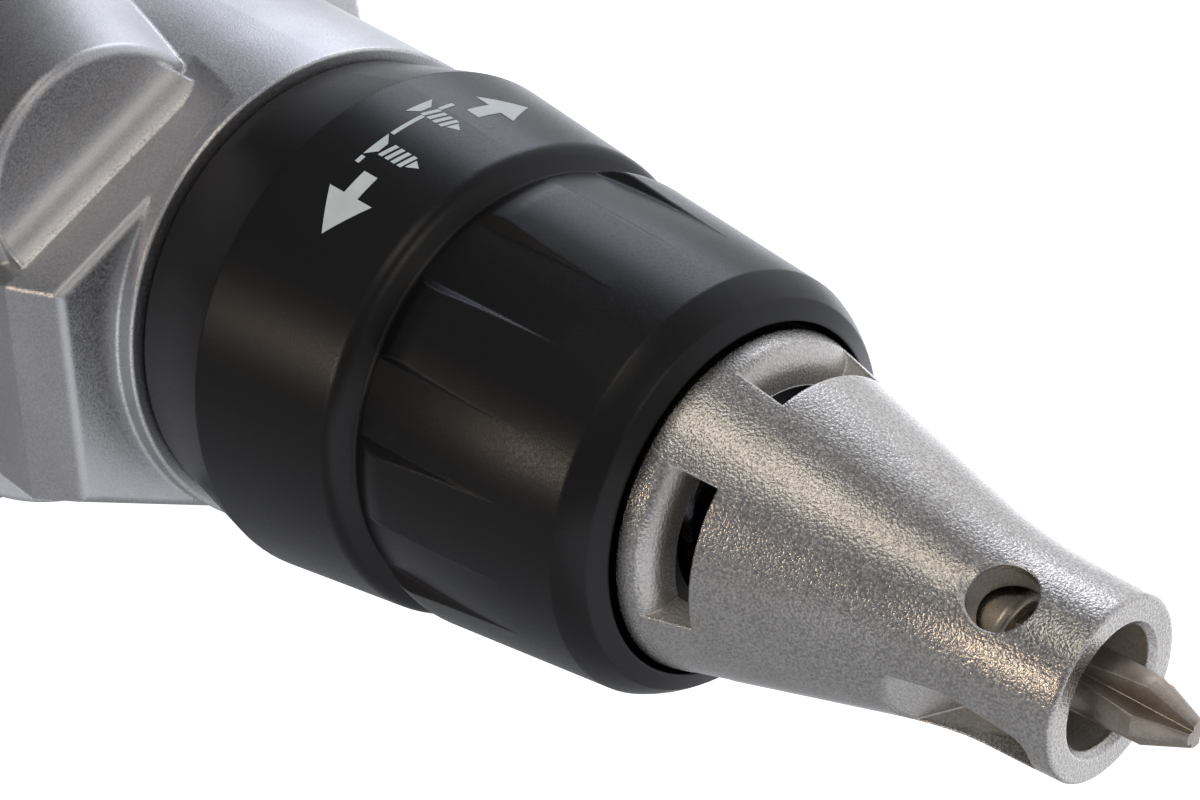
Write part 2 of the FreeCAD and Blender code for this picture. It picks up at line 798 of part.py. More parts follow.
def depth_sleeve():
    body = turned([
        (sleeve_front, spigot_r), (sleeve_web_front, spigot_r), (sleeve_web_front, nose_skirt_r - air),
        (sleeve_ring_front, nose_skirt_r - air), (sleeve_ring_front, sleeve_r), (sleeve_rear, sleeve_r),
        (sleeve_rear, sleeve_bore_r), (sleeve_ring_front, sleeve_bore_r),
        (sleeve_ring_front, spigot_r - spigot_wall), (sleeve_front, spigot_r - spigot_wall)])
    half = snap_wire_r + run_fit
    groove = tube(snap_x - half, snap_x + half, spigot_r + past, spigot_r - snap_wire_r)
    key = block(sleeve_rear, sleeve_ring_front, -key_width / 2, key_width / 2,
                neck_tube_r - key_depth, sleeve_bore_r + slide_fit)
    return fused([body.cut(groove), key, clocked(key, -90.0)])


def nose_snap_ring():
    return ring_wire(snap_x, nose_socket_r, snap_wire_r, clip_gap_angle)


def collar_clip():
    return ring_wire(collar_clip_x, neck_boss_r, collar_clip_wire_r, clip_gap_angle)


def detent_ball():
    return Part.makeSphere(detent_ball_r,
                           Vec(neck_boss_front + detent_stick_out - detent_ball_r, 0, detent_circle_r))


def detent_spring():
    front = neck_boss_front + detent_stick_out - 2 * detent_ball_r - run_fit
    rear = neck_boss_front - detent_pocket_len + run_fit
    mean_r = detent_ball_r - detent_wire_r
    return placed(coil("detent_spring", front - rear, mean_r, detent_wire_r, detent_turns),
                  Vec(rear, 0, detent_circle_r))


# Gear case and bearing plate
def full_outline(x, right, left):
    points = [Vec(x, -y, z) for y, z in right] + [Vec(x, y, z) for y, z in reversed(left)]
    return Part.makePolygon(points + [points[0]])


def hull_outline(x, high, low):
    # two upper and two lower circles, each (y, z, radius), joined by their outer tangents
    high_y, high_z, high_r = high
    low_y, low_z, low_r = low
    span = math.hypot(high_y - low_y, high_z - low_z)
    lean = math.atan2(high_z - low_z, high_y - low_y) - math.acos((low_r - high_r) / span)
    over = (lean + math.pi / 2) / 2
    under = (lean - math.pi / 2) / 2

    def on_high(angle, side=1):
        return side * (high_y + high_r * math.cos(angle)), high_z + high_r * math.sin(angle)

    def on_low(angle, side=1):
        return side * (low_y + low_r * math.cos(angle)), low_z + low_r * math.sin(angle)

    top, bottom = high_z + high_r, low_z - low_r
    return trace([
        on_low(lean), on_high(lean), (on_high(over), (high_y, top)), (-high_y, top),
        (on_high(over, -1), on_high(lean, -1)), on_low(lean, -1), (on_low(under, -1), (-low_y, bottom)),
        (low_y, bottom), (on_low(under), on_low(lean))], lambda y, z: Vec(x, y, z))


def case_outline(x, inset=0.0):
    return hull_outline(x, (case_high_y, case_high_z, case_high_r - inset),
                        (case_low_y, case_low_z, case_low_r - inset))


def barrel_outline(x, inset=0.0):
    return hull_outline(x, (barrel_top_y, barrel_high_z, barrel_high_r - inset),
                        (barrel_low_y, barrel_low_z, barrel_low_r - inset))


def plate_screw_spots():
    return [(side * y, z) for side in (-1, 1) for y, z in (plate_screws_top, plate_screws_low)]


def plate_plug(x0, x1, grow=0.0):
    upper = rod(x0, x1, plate_upper_r + grow)
    lower = rod(x0, x1, plate_lower_r + grow, z=motor_z)
    return upper.fuse(lower)


def slant_line(x, outline):
    # the slanted face's two ends at x, and the direction that it faces
    high = Vec(x, -outline[0][0], outline[0][1])
    low = Vec(x, -outline[1][0], outline[1][1])
    along = (high - low).normalize()
    return high, low, along, ALONG_X.cross(along)


def slant_cutter():
    # what lies beyond the right side's slanted face, from the shoulder to where it runs out beside the boss
    ends = []
    for x, outline, top_y, rise in ((shoulder_x, case_front_half, slant_top_y, 0.0),
                                    (case_step_x, case_step_half, slant_boss_y, 0.0),
                                    (boss_front, case_step_half, slant_boss_y, 0.0),
                                    (slant_fade_x, case_step_half, slant_boss_y, slant_fade_rise)):
        high, low, along, away = slant_line(x, outline)
        high += away * rise
        low += away * rise
        top = high - along * ((top_y - outline[0][0]) / along.y)
        lean = (away + along * slant_top_lean) * boss_r
        ends.append(Part.makePolygon([low, top, top + lean, low + away * boss_r, low]))
    return Part.makeLoft(ends, True, True)


def boss_hollow():
    # the hollow rounding at the foot of the boss, with a small step down to the slanted face
    high, low, along, away = slant_line(case_step_x, case_step_half)
    reach = case_step_x - boss_front
    tilt = math.radians(boss_hollow_tilt)
    r = reach / (1 - math.sin(tilt))
    middle = (r - reach, boss_hollow_step + r * math.cos(tilt))
    half = (math.radians(90.0) + tilt) / 2.0
    via = (middle[0] - r * math.sin(half), middle[1] - r * math.cos(half))
    outline = [(-reach - past, middle[1]), (-reach, middle[1]), (via, (0.0, boss_hollow_step)),
               (0.0, -past), (-reach - past, -past)]
    face = Part.Face(trace(outline, lambda u, w: low - along * boss_r + ALONG_X * u + away * w))
    strip = face.extrude(high - low + along * (2 * boss_r))
    return strip.common(rod(boss_front - past, case_step_x, boss_r - edge_round, -boss_y, boss_z))


def gear_case():
    crown = turned([(neck_ring_x, 0), (neck_ring_x, neck_ring_r), (case_rear, case_top_r),
                    (case_rear, 0)])
    crown = crown.cut(slant_cutter())
    sections = [full_outline(shoulder_x, case_front_half, case_front_half),
                full_outline(case_step_x, case_step_half, case_step_left),
                full_outline(case_rear, case_rear_half, case_rear_half)]
    body = Part.makeLoft(sections, True, True)
    ridge = [e for e in body.Edges if e.BoundBox.XMin > shoulder_x - past]
    body = body.makeFillet(edge_round, ridge)
    ends = [Part.Wire(Part.makeCircle(boss_r, Vec(x, -y, z), ALONG_X))
            for x, y, z in ((boss_front, boss_y, boss_z), (boss_rear, boss_rear_y, boss_rear_z))]
    boss = Part.makeLoft(ends, True, True)
    boss = boss.makeFillet(edge_round, [e for e in boss.Edges if e.BoundBox.XLength < past])
    flange = Part.Face(case_outline(case_rear)).extrude(Vec(flange_len_x, 0, 0))
    neck = turned([
        (neck_front, 0), (neck_front, neck_tube_r), (neck_boss_front, neck_tube_r),
        (neck_boss_front, neck_boss_r), (neck_ring_x - past, neck_boss_r), (neck_ring_x - past, 0)])
    solid = fused([crown, body, boss, boss_hollow(), flange, neck])
    gear_room = turned([
        (plate_front - past, 0), (plate_front - past, cavity_r), (gear_front + dog_len, cavity_r),
        (cavity_front, flange_r + cavity_gap), (cavity_front, 0)])
    pinion_room = rod(gear_front + 3 * pinion_overlap, plate_front - past, pinion_tip_r + cavity_gap,
                      z=motor_z)
    plate_room = plate_plug(plate_front, case_rear - past, seat_gap)
    spindle_bore = rod(cavity_front - past, neck_front + past, bush_r)
    key = block(sleeve_rear - 3 * past, neck_front + past, -key_width / 2 - slide_fit,
                key_width / 2 + slide_fit,
                neck_tube_r - key_depth - slide_fit, neck_tube_r + past)
    clip_half = collar_clip_wire_r + run_fit
    clip_groove = tube(collar_clip_x - clip_half, collar_clip_x + clip_half, neck_boss_r + slide_fit,
                       neck_boss_r - collar_clip_wire_r - run_fit)
    pocket = rod(neck_boss_front - detent_pocket_len, neck_boss_front + past, detent_ball_r + run_fit,
                 z=detent_circle_r)
    thread_depth = plate_screw_len - plate_rim_len
    holes = [rod(case_rear - past, case_rear + thread_depth + past, plate_screw_r + run_fit, y, z)
             for y, z in plate_screw_spots()]
    return solid.cut([gear_room, pinion_room, plate_room, spindle_bore, key, clocked(key, -90.0),
                      clip_groove,
                      pocket] + holes)


def bearing_plate():
    plug = plate_plug(plate_front, case_rear)
    step = Part.Face(case_outline(case_rear, shell_wall + seat_gap)).extrude(Vec(-plate_rim_len, 0, 0))
    rim_front = case_rear - plate_lip_len
    rim_rear = case_rear - plate_rim_len
    rim = Part.Face(case_outline(rim_front, shell_wall / 2)).extrude(Vec(rim_rear - rim_front, 0, 0))
    gear_seat = rod(plate_front + past, gear_bearing_front - bearing_width, gear_bearing_r)
    hub_room = rod(plate_front, hub_rear - past, gear_hub_r + cavity_gap)
    boss_rear = motor_front_bearing - bearing_width
    boss = rod(case_rear, boss_rear, motor_bearing_r + motor_bearing_boss, z=motor_z)
    motor_seat = rod(motor_front_bearing, boss_rear - past, motor_bearing_r, z=motor_z)
    shaft_hole = rod(plate_front + past, boss_rear - past, pinion_tip_r + air, z=motor_z)
    holes = [rod(rim_rear - past, plate_front + past, plate_screw_r + seat_gap, y, z)
             for y, z in plate_screw_spots()]
    return fused([plug, step, rim, boss]).cut([gear_seat, hub_room, motor_seat, shaft_hole] + holes)


def plate_screws():
    one = screw(plate_screw_len, plate_screw_r, plate_screw_head_r, plate_screw_head)
    return Part.Compound([placed(one, Vec(case_rear - plate_rim_len, y, z), ALONG_Z, 180.0)
                          for y, z in plate_screw_spots()])


# Motor
def armature_shaft():
    seat = motor_bearing_bore_r
    front_seat = motor_front_bearing - bearing_width
    core_seat = winding_inner_r - past
    return turned([
        (gear_front + 2 * pinion_overlap, 0), (gear_front + 2 * pinion_overlap, pinion_bore_r),
        (gear_rear - pinion_overlap, pinion_bore_r), (gear_rear - pinion_overlap, seat),
        (front_seat, seat), (front_seat, shaft_r), (core_front + winding_reach, shaft_r),
        (core_front + winding_reach, core_seat), (core_rear - winding_reach, core_seat),
        (core_rear - winding_reach, shaft_r), (motor_rear_bearing, shaft_r), (motor_rear_bearing, seat),
        (shaft_rear, seat), (shaft_rear, 0)], motor_z)


def fan():
    disc = tube(fan_rear, fan_rear + fan_disc, fan_r, shaft_r, z=motor_z)
    hub = tube(fan_rear, fan_front, fan_hub_r, shaft_r, z=motor_z)
    blade = block(fan_rear, fan_front, -fan_blade / 2, fan_blade / 2, motor_z + fan_hub_r - past,
                  motor_z + fan_r - past)
    blades = [clocked(blade, k * FULL_TURN / fan_blades, motor_z) for k in range(fan_blades)]
    return fused([disc, hub] + blades)


def slot_bars(width, depth, x0, x1):
    bar = block(x0, x1, -width / 2, width / 2, motor_z + core_r - depth, motor_z + core_r + past)
    return [clocked(bar, k * FULL_TURN / core_slots, motor_z) for k in range(core_slots)]


def armature_core():
    body = tube(core_rear, core_front, core_r, winding_inner_r - past, z=motor_z)
    return body.cut(slot_bars(core_slot_width, core_slot_depth, core_rear - past, core_front + past))


def armature_winding():
    ends = [tube(core_front, core_front + winding_reach, winding_r, winding_inner_r, z=motor_z),
            tube(core_rear - winding_reach, core_rear, winding_r, winding_inner_r, z=motor_z)]
    bars = slot_bars(core_slot_width - 2 * seat_gap, core_slot_depth - seat_gap, core_rear - past,
                     core_front + past)
    limit = rod(core_rear - past, core_front + past, winding_r, z=motor_z)
    return fused(ends + [bar.common(limit) for bar in bars])


def commutator():
    body = tube(comm_rear, comm_front, comm_r, shaft_r, z=motor_z)
    slit = block(comm_rear - past, comm_front + past, -comm_slit / 2, comm_slit / 2,
                 motor_z + comm_r - comm_slit_depth, motor_z + comm_r + past)
    return body.cut([clocked(slit, k * FULL_TURN / comm_bars, motor_z) for k in range(comm_bars)])


def stator_core():
    bore_r = core_r + stator_air
    yoke = tube(core_rear, core_front, stator_r, stator_r - stator_yoke, z=motor_z)
    pole = [(core_rear, bore_r), (core_rear, stator_r - stator_yoke / 2),
            (core_front, stator_r - stator_yoke / 2),
            (core_front, bore_r)]
    return fused([yoke, turned(pole, motor_z, pole_angle, 0.0), turned(pole, motor_z, pole_angle, 180.0)])


def field_coil(clock):
    inner_r = core_r + stator_air + coil_gap
    outer_r = stator_r - stator_yoke - coil_gap
    front, rear = core_front + coil_reach, core_rear - coil_reach
    outline = [(rear, inner_r), (rear, outer_r), (front, outer_r), (front, inner_r)]
    window = [(core_rear - coil_gap, inner_r - past), (core_rear - coil_gap, outer_r + past),
              (core_front + coil_gap, outer_r + past), (core_front + coil_gap, inner_r - past)]
    side = math.degrees(2 * coil_gap / inner_r)
    return turned(outline, motor_z, coil_angle,
                  clock).cut(turned(window, motor_z, pole_angle + side, clock))


def brush_box(x_half, z_half, y0, y1):
    return block(commutator_mid - x_half, commutator_mid + x_half, y0, y1, motor_z - z_half,
                 motor_z + z_half)


def carbon_brushes():
    face = rod(comm_rear - past, comm_front + past, comm_r + slide_fit, z=motor_z)
    brush = brush_box(brush_x_len / 2, brush_z_len / 2, comm_r - past, brush_out).cut(face)
    return Part.Compound([brush, mirrored(brush)])


def brush_holders():
    inner = (brush_x_len / 2 + seat_gap, brush_z_len / 2 + seat_gap)
    box = brush_box(inner[0] + brush_wall, inner[1] + brush_wall, brush_holder_in, brush_holder_out)
    holder = box.cut(brush_box(inner[0], inner[1], brush_holder_in - past, brush_holder_out - brush_wall))
    return Part.Compound([holder, mirrored(holder)])


def brush_springs():
    length = brush_holder_out - brush_wall - brush_out - 2 * run_fit
    spring = coil("brush_springs", length, brush_coil_r, brush_wire_r, brush_turns)
    spring = placed(spring, Vec(commutator_mid, brush_out + run_fit, motor_z), ALONG_Z, 90.0)
    return Part.Compound([spring, mirrored(spring)])


# Housing shells with handle
def handle_x(z):
    return handle_top_x + (z - handle_top_z) * handle_lean


def rounded_box(cx, z, half_x, half_y, corner):
    c = min(corner, half_x - past / 2, half_y - past / 2)
    k = c * (1 - math.sqrt(0.5))
    x0, x1 = cx - half_x, cx + half_x
    return trace([
        (x0 + c, -half_y), (x1 - c, -half_y), ((x1 - k, k - half_y), (x1, c - half_y)),
        (x1, half_y - c), ((x1 - k, half_y - k), (x1 - c, half_y)), (x0 + c, half_y),
        ((x0 + k, half_y - k), (x0, half_y - c)), (x0, c - half_y),
        ((x0 + k, k - half_y), (x0 + c, -half_y))], lambda x, y: Vec(x, y, z))


def handle_body(inset, base_z):
    spots = [(handle_top_z, 0.0), (handle_neck_z, 0.0), (handle_low_z, 0.0),
             (handle_base_z, handle_base_grow)]
    sections = []
    for z, grow in spots:
        level = max(z, base_z)
        sections.append(rounded_box(handle_x(level), level, (handle_depth + grow) / 2 - inset,
                                    (handle_width + grow) / 2 - inset, handle_corner - inset))
    return Part.makeLoft(sections, True, True)


def barrel_body(inset, x_front, x_rear, rear_round):
    mouth = Part.Face(case_outline(x_front, inset)).extrude(Vec(shell_mouth_x - x_front, 0, 0))
    front = Part.makeLoft([case_outline(shell_mouth_x, inset), barrel_outline(shell_barrel_x, inset)],
                          True, True)
    rear = Part.Face(barrel_outline(shell_barrel_x, inset)).extrude(Vec(x_rear - shell_barrel_x, 0, 0))
    end = [e for e in rear.Edges if e.BoundBox.XMax < x_rear + past]
    return fused([mouth, front, rear.makeFillet(rear_round, end)])


def grip_zone(side):
    top_x = handle_x(grip_top_z) + grip_front_offset
    low_x = handle_x(grip_low_z) + grip_front_offset
    far = handle_depth
    corners = [Vec(top_x, 0, grip_top_z), Vec(low_x, 0, grip_low_z), Vec(low_x - far, 0, grip_low_z),
               Vec(top_x - far, 0, grip_top_z)]
    outline = Part.Face(Part.makePolygon(corners + [corners[0]]))
    return outline.extrude(Vec(0, side * handle_width, 0))


def grip_rubber(side):
    skin = handle_body(0.0, handle_base_z).cut(handle_body(grip_skin, handle_base_z))
    lock_hole = cross_rod(lock_x, lock_z, 0, handle_width, lock_r + air)
    return skin.common(grip_zone(side)).cut(lock_hole)


def vents(x_rear):
    slots = []
    for k in range(vent_count):
        z = motor_z + (k - (vent_count - 1) / 2.0) * vent_pitch
        slots.append(block(x_rear, x_rear + vent_length, -handle_width * 2, handle_width * 2,
                           z - vent_height / 2, z + vent_height / 2))
    return slots


def shell_blank():
    outer = barrel_body(0.0, case_rear, shell_rear,
                        shell_rear_round).fuse(handle_body(0.0, handle_base_z))
    inner = barrel_body(shell_wall, case_rear + past, shell_rear + shell_wall,
                        shell_rear_round - shell_wall)
    grip = handle_body(shell_wall, handle_base_z + shell_wall)
    shell = outer.cut([inner, grip])
    rim_front = case_rear - plate_lip_len + seat_gap
    rim_len = plate_rim_len - plate_lip_len + 2 * seat_gap
    rim = Part.Face(case_outline(rim_front, shell_wall / 2 - seat_gap)).extrude(Vec(-rim_len, 0, 0))
    stator_ribs = [tube(x, x - stator_rib, motor_wall_r, stator_r + seat_gap, z=motor_z)
                   for x in (core_front - stator_rib, core_rear + 2 * stator_rib)]
    seat_front, seat_rear = motor_rear_bearing, motor_rear_bearing - bearing_width
    rear_wall = tube(seat_front, seat_rear, motor_wall_r, motor_bearing_r, z=motor_z)
    ribs = stator_ribs + [rear_wall]
    for x, z in shell_screws:
        ribs.append(cross_rod(x, z, -rib_reach, rib_reach, shell_boss_r))
    holder_half = brush_z_len / 2 + seat_gap + brush_wall
    brush_rib = brush_box(brush_x_len / 2, holder_half, brush_holder_out, rib_reach)
    ribs += [brush_rib, mirrored(brush_rib)]
    for z in (switch_top - 2 * shell_wall, switch_bottom + 2 * shell_wall):
        rib = block(switch_rear, switch_front - 2 * shell_wall, switch_half_width + seat_gap,
                    handle_width,
                    z - shell_wall / 2, z + shell_wall / 2)
        ribs += [rib, mirrored(rib)]
    cap_half = capacitor_size[1] / 2
    cap_rib = block(capacitor_x - cap_half, capacitor_x + cap_half, cap_half + seat_gap, handle_width,
                    capacitor_z - shell_wall / 2, capacitor_z + shell_wall / 2)
    ribs += [cap_rib, mirrored(cap_rib)]
    for x in (clamp_x - clamp_screw_pitch / 2, clamp_x + clamp_screw_pitch / 2):
        ribs.append(cross_rod(x, clamp_z, -handle_width, -clamp_thick, shell_boss_r))
    for y in (-hook_screw_y, hook_screw_y):
        ribs.append(post(hook_root_x + hook_root_len / 2, y, barrel_top_z - hook_screw_len, barrel_top_z,
                         hook_boss_r))
    whole = outer.common(fused(ribs)).fuse(shell.cut(rim))
    return whole.removeSplitter()


def shell_openings():
    cuts = vents(fan_rear) + vents(core_rear - past - vent_length)
    front = switch_front
    cuts.append(block(front + past, front + handle_depth, -trigger_half_width - air,
                      trigger_half_width + air,
                      trigger_bottom - air, trigger_top + air))
    swing = lever_half_width + lever_reach * math.sin(math.radians(lever_swing))
    cuts.append(block(front, lever_pivot_x + lever_reach + 2 * past, -swing - air, swing + air,
                      lever_top - lever_thick - air, lever_top + air))
    cuts.append(cross_rod(lock_x, lock_z, switch_half_width, handle_width, lock_r + seat_gap))
    cuts.append(post(handle_x(handle_base_z), 0, handle_base_z - past, handle_base_z + gland_in, gland_r))
    for y in (-hook_screw_y, hook_screw_y):
        cuts.append(post(hook_root_x + hook_root_len / 2, y, barrel_top_z - hook_screw_len,
                         barrel_top_z + past,
                         hook_screw_r + run_fit))
    for x in (clamp_x - clamp_screw_pitch / 2, clamp_x + clamp_screw_pitch / 2):
        cuts.append(cross_rod(x, clamp_z, -clamp_thick - clamp_screw_len, 0, clamp_screw_r + run_fit))
    return cuts


def shell_screw_cuts():
    seat_y = -shell_screw_len / 2
    cuts = []
    for x, z in shell_screws:
        cuts.append(cross_rod(x, z, seat_y, shell_screw_len / 2 + seat_gap, shell_screw_r + run_fit))
        cuts.append(cross_rod(x, z, seat_y, -2 * rib_reach, shell_screw_head_r + seat_gap))
    return cuts


def housing_shell(blank, side):
    half = block(shell_rear - handle_depth, case_rear + past, 0, side * 2 * rib_reach,
                 handle_base_z - past, boss_z + 2 * boss_r)
    skin = handle_body(0.0, handle_base_z).cut(handle_body(grip_skin,
                                                           handle_base_z)).common(grip_zone(side))
    return blank.common(half).cut([skin])


def shell_screw_group():
    one = screw(shell_screw_len, shell_screw_r, shell_screw_head_r, shell_screw_head)
    return Part.Compound([placed(one, Vec(x, -shell_screw_len / 2, z), ALONG_Z, -90.0)
                          for x, z in shell_screws])


# Switch, trigger, lever and lock button
def stem_hole(gap):
    middle = (trigger_top + trigger_bottom) / 2
    back = switch_front + trigger_back_gap
    return block(back - stem_len - gap, back, -stem_half - gap, stem_half + gap, middle - stem_half - gap,
                 middle + stem_half + gap)


def switch_body():
    body = block(switch_rear, switch_front, -switch_half_width, switch_half_width, switch_bottom,
                 switch_top)
    stem_room = stem_hole(air)
    stem_room.translate(Vec(-trigger_travel, 0, 0))
    entry = stem_hole(air)
    pin = post(lever_pivot_x, 0, switch_top - lever_pin_len, switch_top + past, lever_pin_r + run_fit)
    return body.cut([stem_room.fuse(entry), pin])


def trigger():
    back = switch_front + trigger_back_gap
    middle = (trigger_top + trigger_bottom) / 2
    front = handle_x(middle) + handle_depth / 2 + trigger_reach
    profile = trace([
        (back, trigger_top), (front, trigger_top),
        ((front - trigger_hollow, middle), (front, trigger_bottom)), (back, trigger_bottom)],
        lambda x, z: Vec(x, -trigger_half_width, z))
    body = Part.Face(profile).extrude(Vec(0, 2 * trigger_half_width, 0))
    fore = [e for e in body.Edges if e.BoundBox.XMin > front - 2 * trigger_hollow]
    body = body.makeFillet(2 * edge_round, [e for e in fore if e.BoundBox.YLength < past])
    dial_room = rod(front - 2 * trigger_hollow, front + past, dial_r + air, z=dial_z)
    pin_hole = rod(front - 4 * trigger_hollow, front, dial_pin_r + run_fit, z=dial_z)
    return fused([body, stem_hole(0.0)]).cut([dial_room, pin_hole])


def trigger_front():
    return handle_x((trigger_top + trigger_bottom) / 2) + handle_depth / 2 + trigger_reach


def speed_dial():
    floor = trigger_front() - 2 * trigger_hollow + seat_gap
    knob = rod(floor, floor + trigger_hollow + dial_len, dial_r, z=dial_z)
    rim = [e for e in knob.Edges if e.BoundBox.XMin > floor + dial_len]
    knob = knob.makeFillet(edge_round, rim)
    notch = rod(floor + trigger_hollow, floor + 2 * dial_len + trigger_hollow, dial_r / 8,
                z=dial_z + dial_r)
    notches = [clocked(notch, k * FULL_TURN / dial_notches, dial_z) for k in range(dial_notches)]
    pin = rod(floor - 1.5 * trigger_hollow, floor + past, dial_pin_r, z=dial_z)
    return fused([knob.cut(notches), pin])


def trigger_spring():
    length = trigger_back_gap - 2 * seat_gap
    spring = coil("trigger_spring", length, trigger_coil_r, trigger_wire_r, trigger_turns)
    return placed(spring, Vec(switch_front + seat_gap, 0, (trigger_top + trigger_bottom) / 2))


def reverse_lever():
    low = lever_top - lever_thick
    w = lever_half_width
    tip = lever_pivot_x + lever_reach
    profile = trace([
        (lever_pivot_x, -w), (tip - w, -w), ((tip, 0), (tip - w, w)), (lever_pivot_x, w),
        ((lever_pivot_x - w, 0), (lever_pivot_x, -w))],
        lambda x, y: Vec(x, y, low))
    arm = Part.Face(profile).extrude(Vec(0, 0, lever_thick))
    pin = post(lever_pivot_x, 0, switch_top - lever_pin_len + seat_gap, low + past, lever_pin_r)
    return fused([arm, pin])


def lock_flange_in():
    return handle_width / 2 - shell_wall - seat_gap - lock_flange_len


def lock_button():
    inner = lock_flange_in()
    stem = cross_rod(lock_x, lock_z, inner, handle_width / 2 + lock_stick_out, lock_r)
    rim = [e for e in stem.Edges if e.BoundBox.YMin > handle_width / 2]
    stem = stem.makeFillet(edge_round, rim)
    return fused([stem, cross_rod(lock_x, lock_z, inner, inner + lock_flange_len, lock_r + lock_flange)])


def lock_spring():
    length = lock_flange_in() - switch_half_width - 2 * run_fit
    spring = coil("lock_spring", length, lock_coil_r, lock_wire_r, lock_turns)
    return placed(spring, Vec(lock_x, switch_half_width + run_fit, lock_z), ALONG_Z, 90.0)


# Handle end and belt hook
def cord_gland():
    x = handle_x(handle_base_z)
    body = post(x, 0, handle_base_z - past, handle_base_z + gland_in, gland_r)
    collar = post(x, 0, handle_base_z - gland_out, handle_base_z - seat_gap, gland_flange_r)
    rim = [e for e in collar.Edges if e.BoundBox.ZMax < handle_base_z - gland_out / 2]
    collar = collar.makeFillet(2 * edge_round, rim)
    inside = handle_base_z + shell_wall + seat_gap
    flange = post(x, 0, inside, inside + gland_flange, gland_flange_r)
    bore = post(x, 0, handle_base_z - gland_out - past, handle_base_z + gland_in + past, gland_bore_r)
    return fused([body, collar, flange]).cut(bore)


def clamp_spots():
    return [clamp_x - clamp_screw_pitch / 2, clamp_x + clamp_screw_pitch / 2]


def cord_clamp():
    bar = block(clamp_x - clamp_len / 2, clamp_x + clamp_len / 2, -clamp_thick, 0,
                clamp_z - clamp_width / 2,
                clamp_z + clamp_width / 2)
    return bar.cut([cross_rod(x, clamp_z, -clamp_thick - past, past, clamp_screw_r + run_fit)
                    for x in clamp_spots()])


def clamp_screw_group():
    one = screw(clamp_thick + clamp_screw_len - past, clamp_screw_r, clamp_screw_head_r, clamp_screw_head)
    return Part.Compound([placed(one, Vec(x, 0, clamp_z), ALONG_Z, 90.0) for x in clamp_spots()])


def capacitor():
    length, width, height = capacitor_size
    return block(capacitor_x - length / 2, capacitor_x + length / 2, -width / 2, width / 2,
                 capacitor_z - height / 2,
                 capacitor_z + height / 2)


def belt_hook():
    t = hook_thick
    low = barrel_top_z
    high = low + hook_gap + t
    root = hook_root_x
    bend = (hook_gap + t) / 2
    profile = trace([
        (root + hook_root_len, low), (root + hook_root_len, low + t), (root, low + t),
        ((root - bend + t, low + t + (high - low - t) / 2), (root, high)), (hook_tip_x, high),
        (hook_tip_x + hook_lip, high + hook_lip / 3), (hook_tip_x + hook_lip, high + hook_lip / 3 + t),
        (hook_tip_x, high + t), (root, high + t), ((root - bend, low + (high + t - low) / 2), (root, low))],
        lambda x, z: Vec(x, -hook_width / 2, z))
    strip = Part.Face(profile).extrude(Vec(0, hook_width, 0))
    screw_x = root + hook_root_len / 2
    holes = [post(screw_x, y, low - past, low + t + past, hook_screw_r + run_fit)
             for y in (-hook_screw_y, hook_screw_y)]
    reach = [post(screw_x, y, low + t + past, high + 2 * t, hook_screw_head_r + seat_gap)
             for y in (-hook_screw_y, hook_screw_y)]
    return strip.cut(holes + reach)


def hook_screw_group():
    one = screw(hook_screw_len, hook_screw_r, hook_screw_head_r, hook_screw_head)
    return Part.Compound([placed(one, Vec(hook_root_x + hook_root_len / 2, y, barrel_top_z + hook_thick),
                                 ALONG_Y, -90.0)
                          for y in (-hook_screw_y, hook_screw_y)])


def build():
    gear_outer, gear_inner = bearing(gear_bearing_front, 0.0, gear_hub_r, gear_bearing_r, bearing_width)
    front_outer, front_inner = bearing(motor_front_bearing, motor_z, motor_bearing_bore_r,
                                       motor_bearing_r, bearing_width)
    rear_outer, rear_inner = bearing(motor_rear_bearing, motor_z, motor_bearing_bore_r,
                                     motor_bearing_r, bearing_width)
    blank = shell_blank().cut(shell_openings() + shell_screw_cuts())
    return {
        "nose_cone": nose_cone(), "nose_snap_ring": nose_snap_ring(), "depth_sleeve": depth_sleeve(),
        "depth_collar": depth_collar(), "collar_clip": collar_clip(), "detent_ball": detent_ball(),
        "detent_spring": detent_spring(), "bit": bit(), "bit_holder": bit_holder(),
        "holder_magnet": holder_magnet(), "bit_clip": bit_clip(), "spindle": spindle(),
        "thrust_washer": thrust_washer(), "clutch_spring": clutch_spring(),
        "spindle_bush_front": spindle_bush(front_bush), "spindle_bush_rear": spindle_bush(rear_bush),
        "drive_gear": drive_gear(), "pinion": pinion(), "gear_bearing_outer": gear_outer,
        "gear_bearing_inner": gear_inner, "gear_case": gear_case(), "bearing_plate": bearing_plate(),
        "plate_screws": plate_screws(), "armature_shaft": armature_shaft(),
        "motor_bearing_front_outer": front_outer, "motor_bearing_front_inner": front_inner,
        "motor_bearing_rear_outer": rear_outer, "motor_bearing_rear_inner": rear_inner, "fan": fan(),
        "armature_core": armature_core(), "armature_winding": armature_winding(),
        "commutator": commutator(), "stator_core": stator_core(), "field_coil_right": field_coil(0.0),
        "field_coil_left": field_coil(180.0), "carbon_brushes": carbon_brushes(),
        "brush_holders": brush_holders(), "brush_springs": brush_springs(),
        "right_shell": housing_shell(blank, -1), "left_shell": housing_shell(blank, 1),
        "grip_rubber_right": grip_rubber(-1), "grip_rubber_left": grip_rubber(1),
        "shell_screws": shell_screw_group(), "switch_body": switch_body(), "trigger": trigger(),
        "trigger_spring": trigger_spring(), "speed_dial": speed_dial(), "reverse_lever": reverse_lever(),
        "lock_button": lock_button(), "lock_spring": lock_spring(), "cord_gland": cord_gland(),
        "cord_clamp": cord_clamp(), "clamp_screws": clamp_screw_group(), "capacitor": capacitor(),
        "belt_hook": belt_hook(), "hook_screws": hook_screw_group(),
    }


os.makedirs("parts", exist_ok=True)
for node, shape in build().items():
    print(node, len(shape.Solids), round(shape.Volume, 1), shape.isValid())
    shape.exportStep("parts/" + node + ".step")
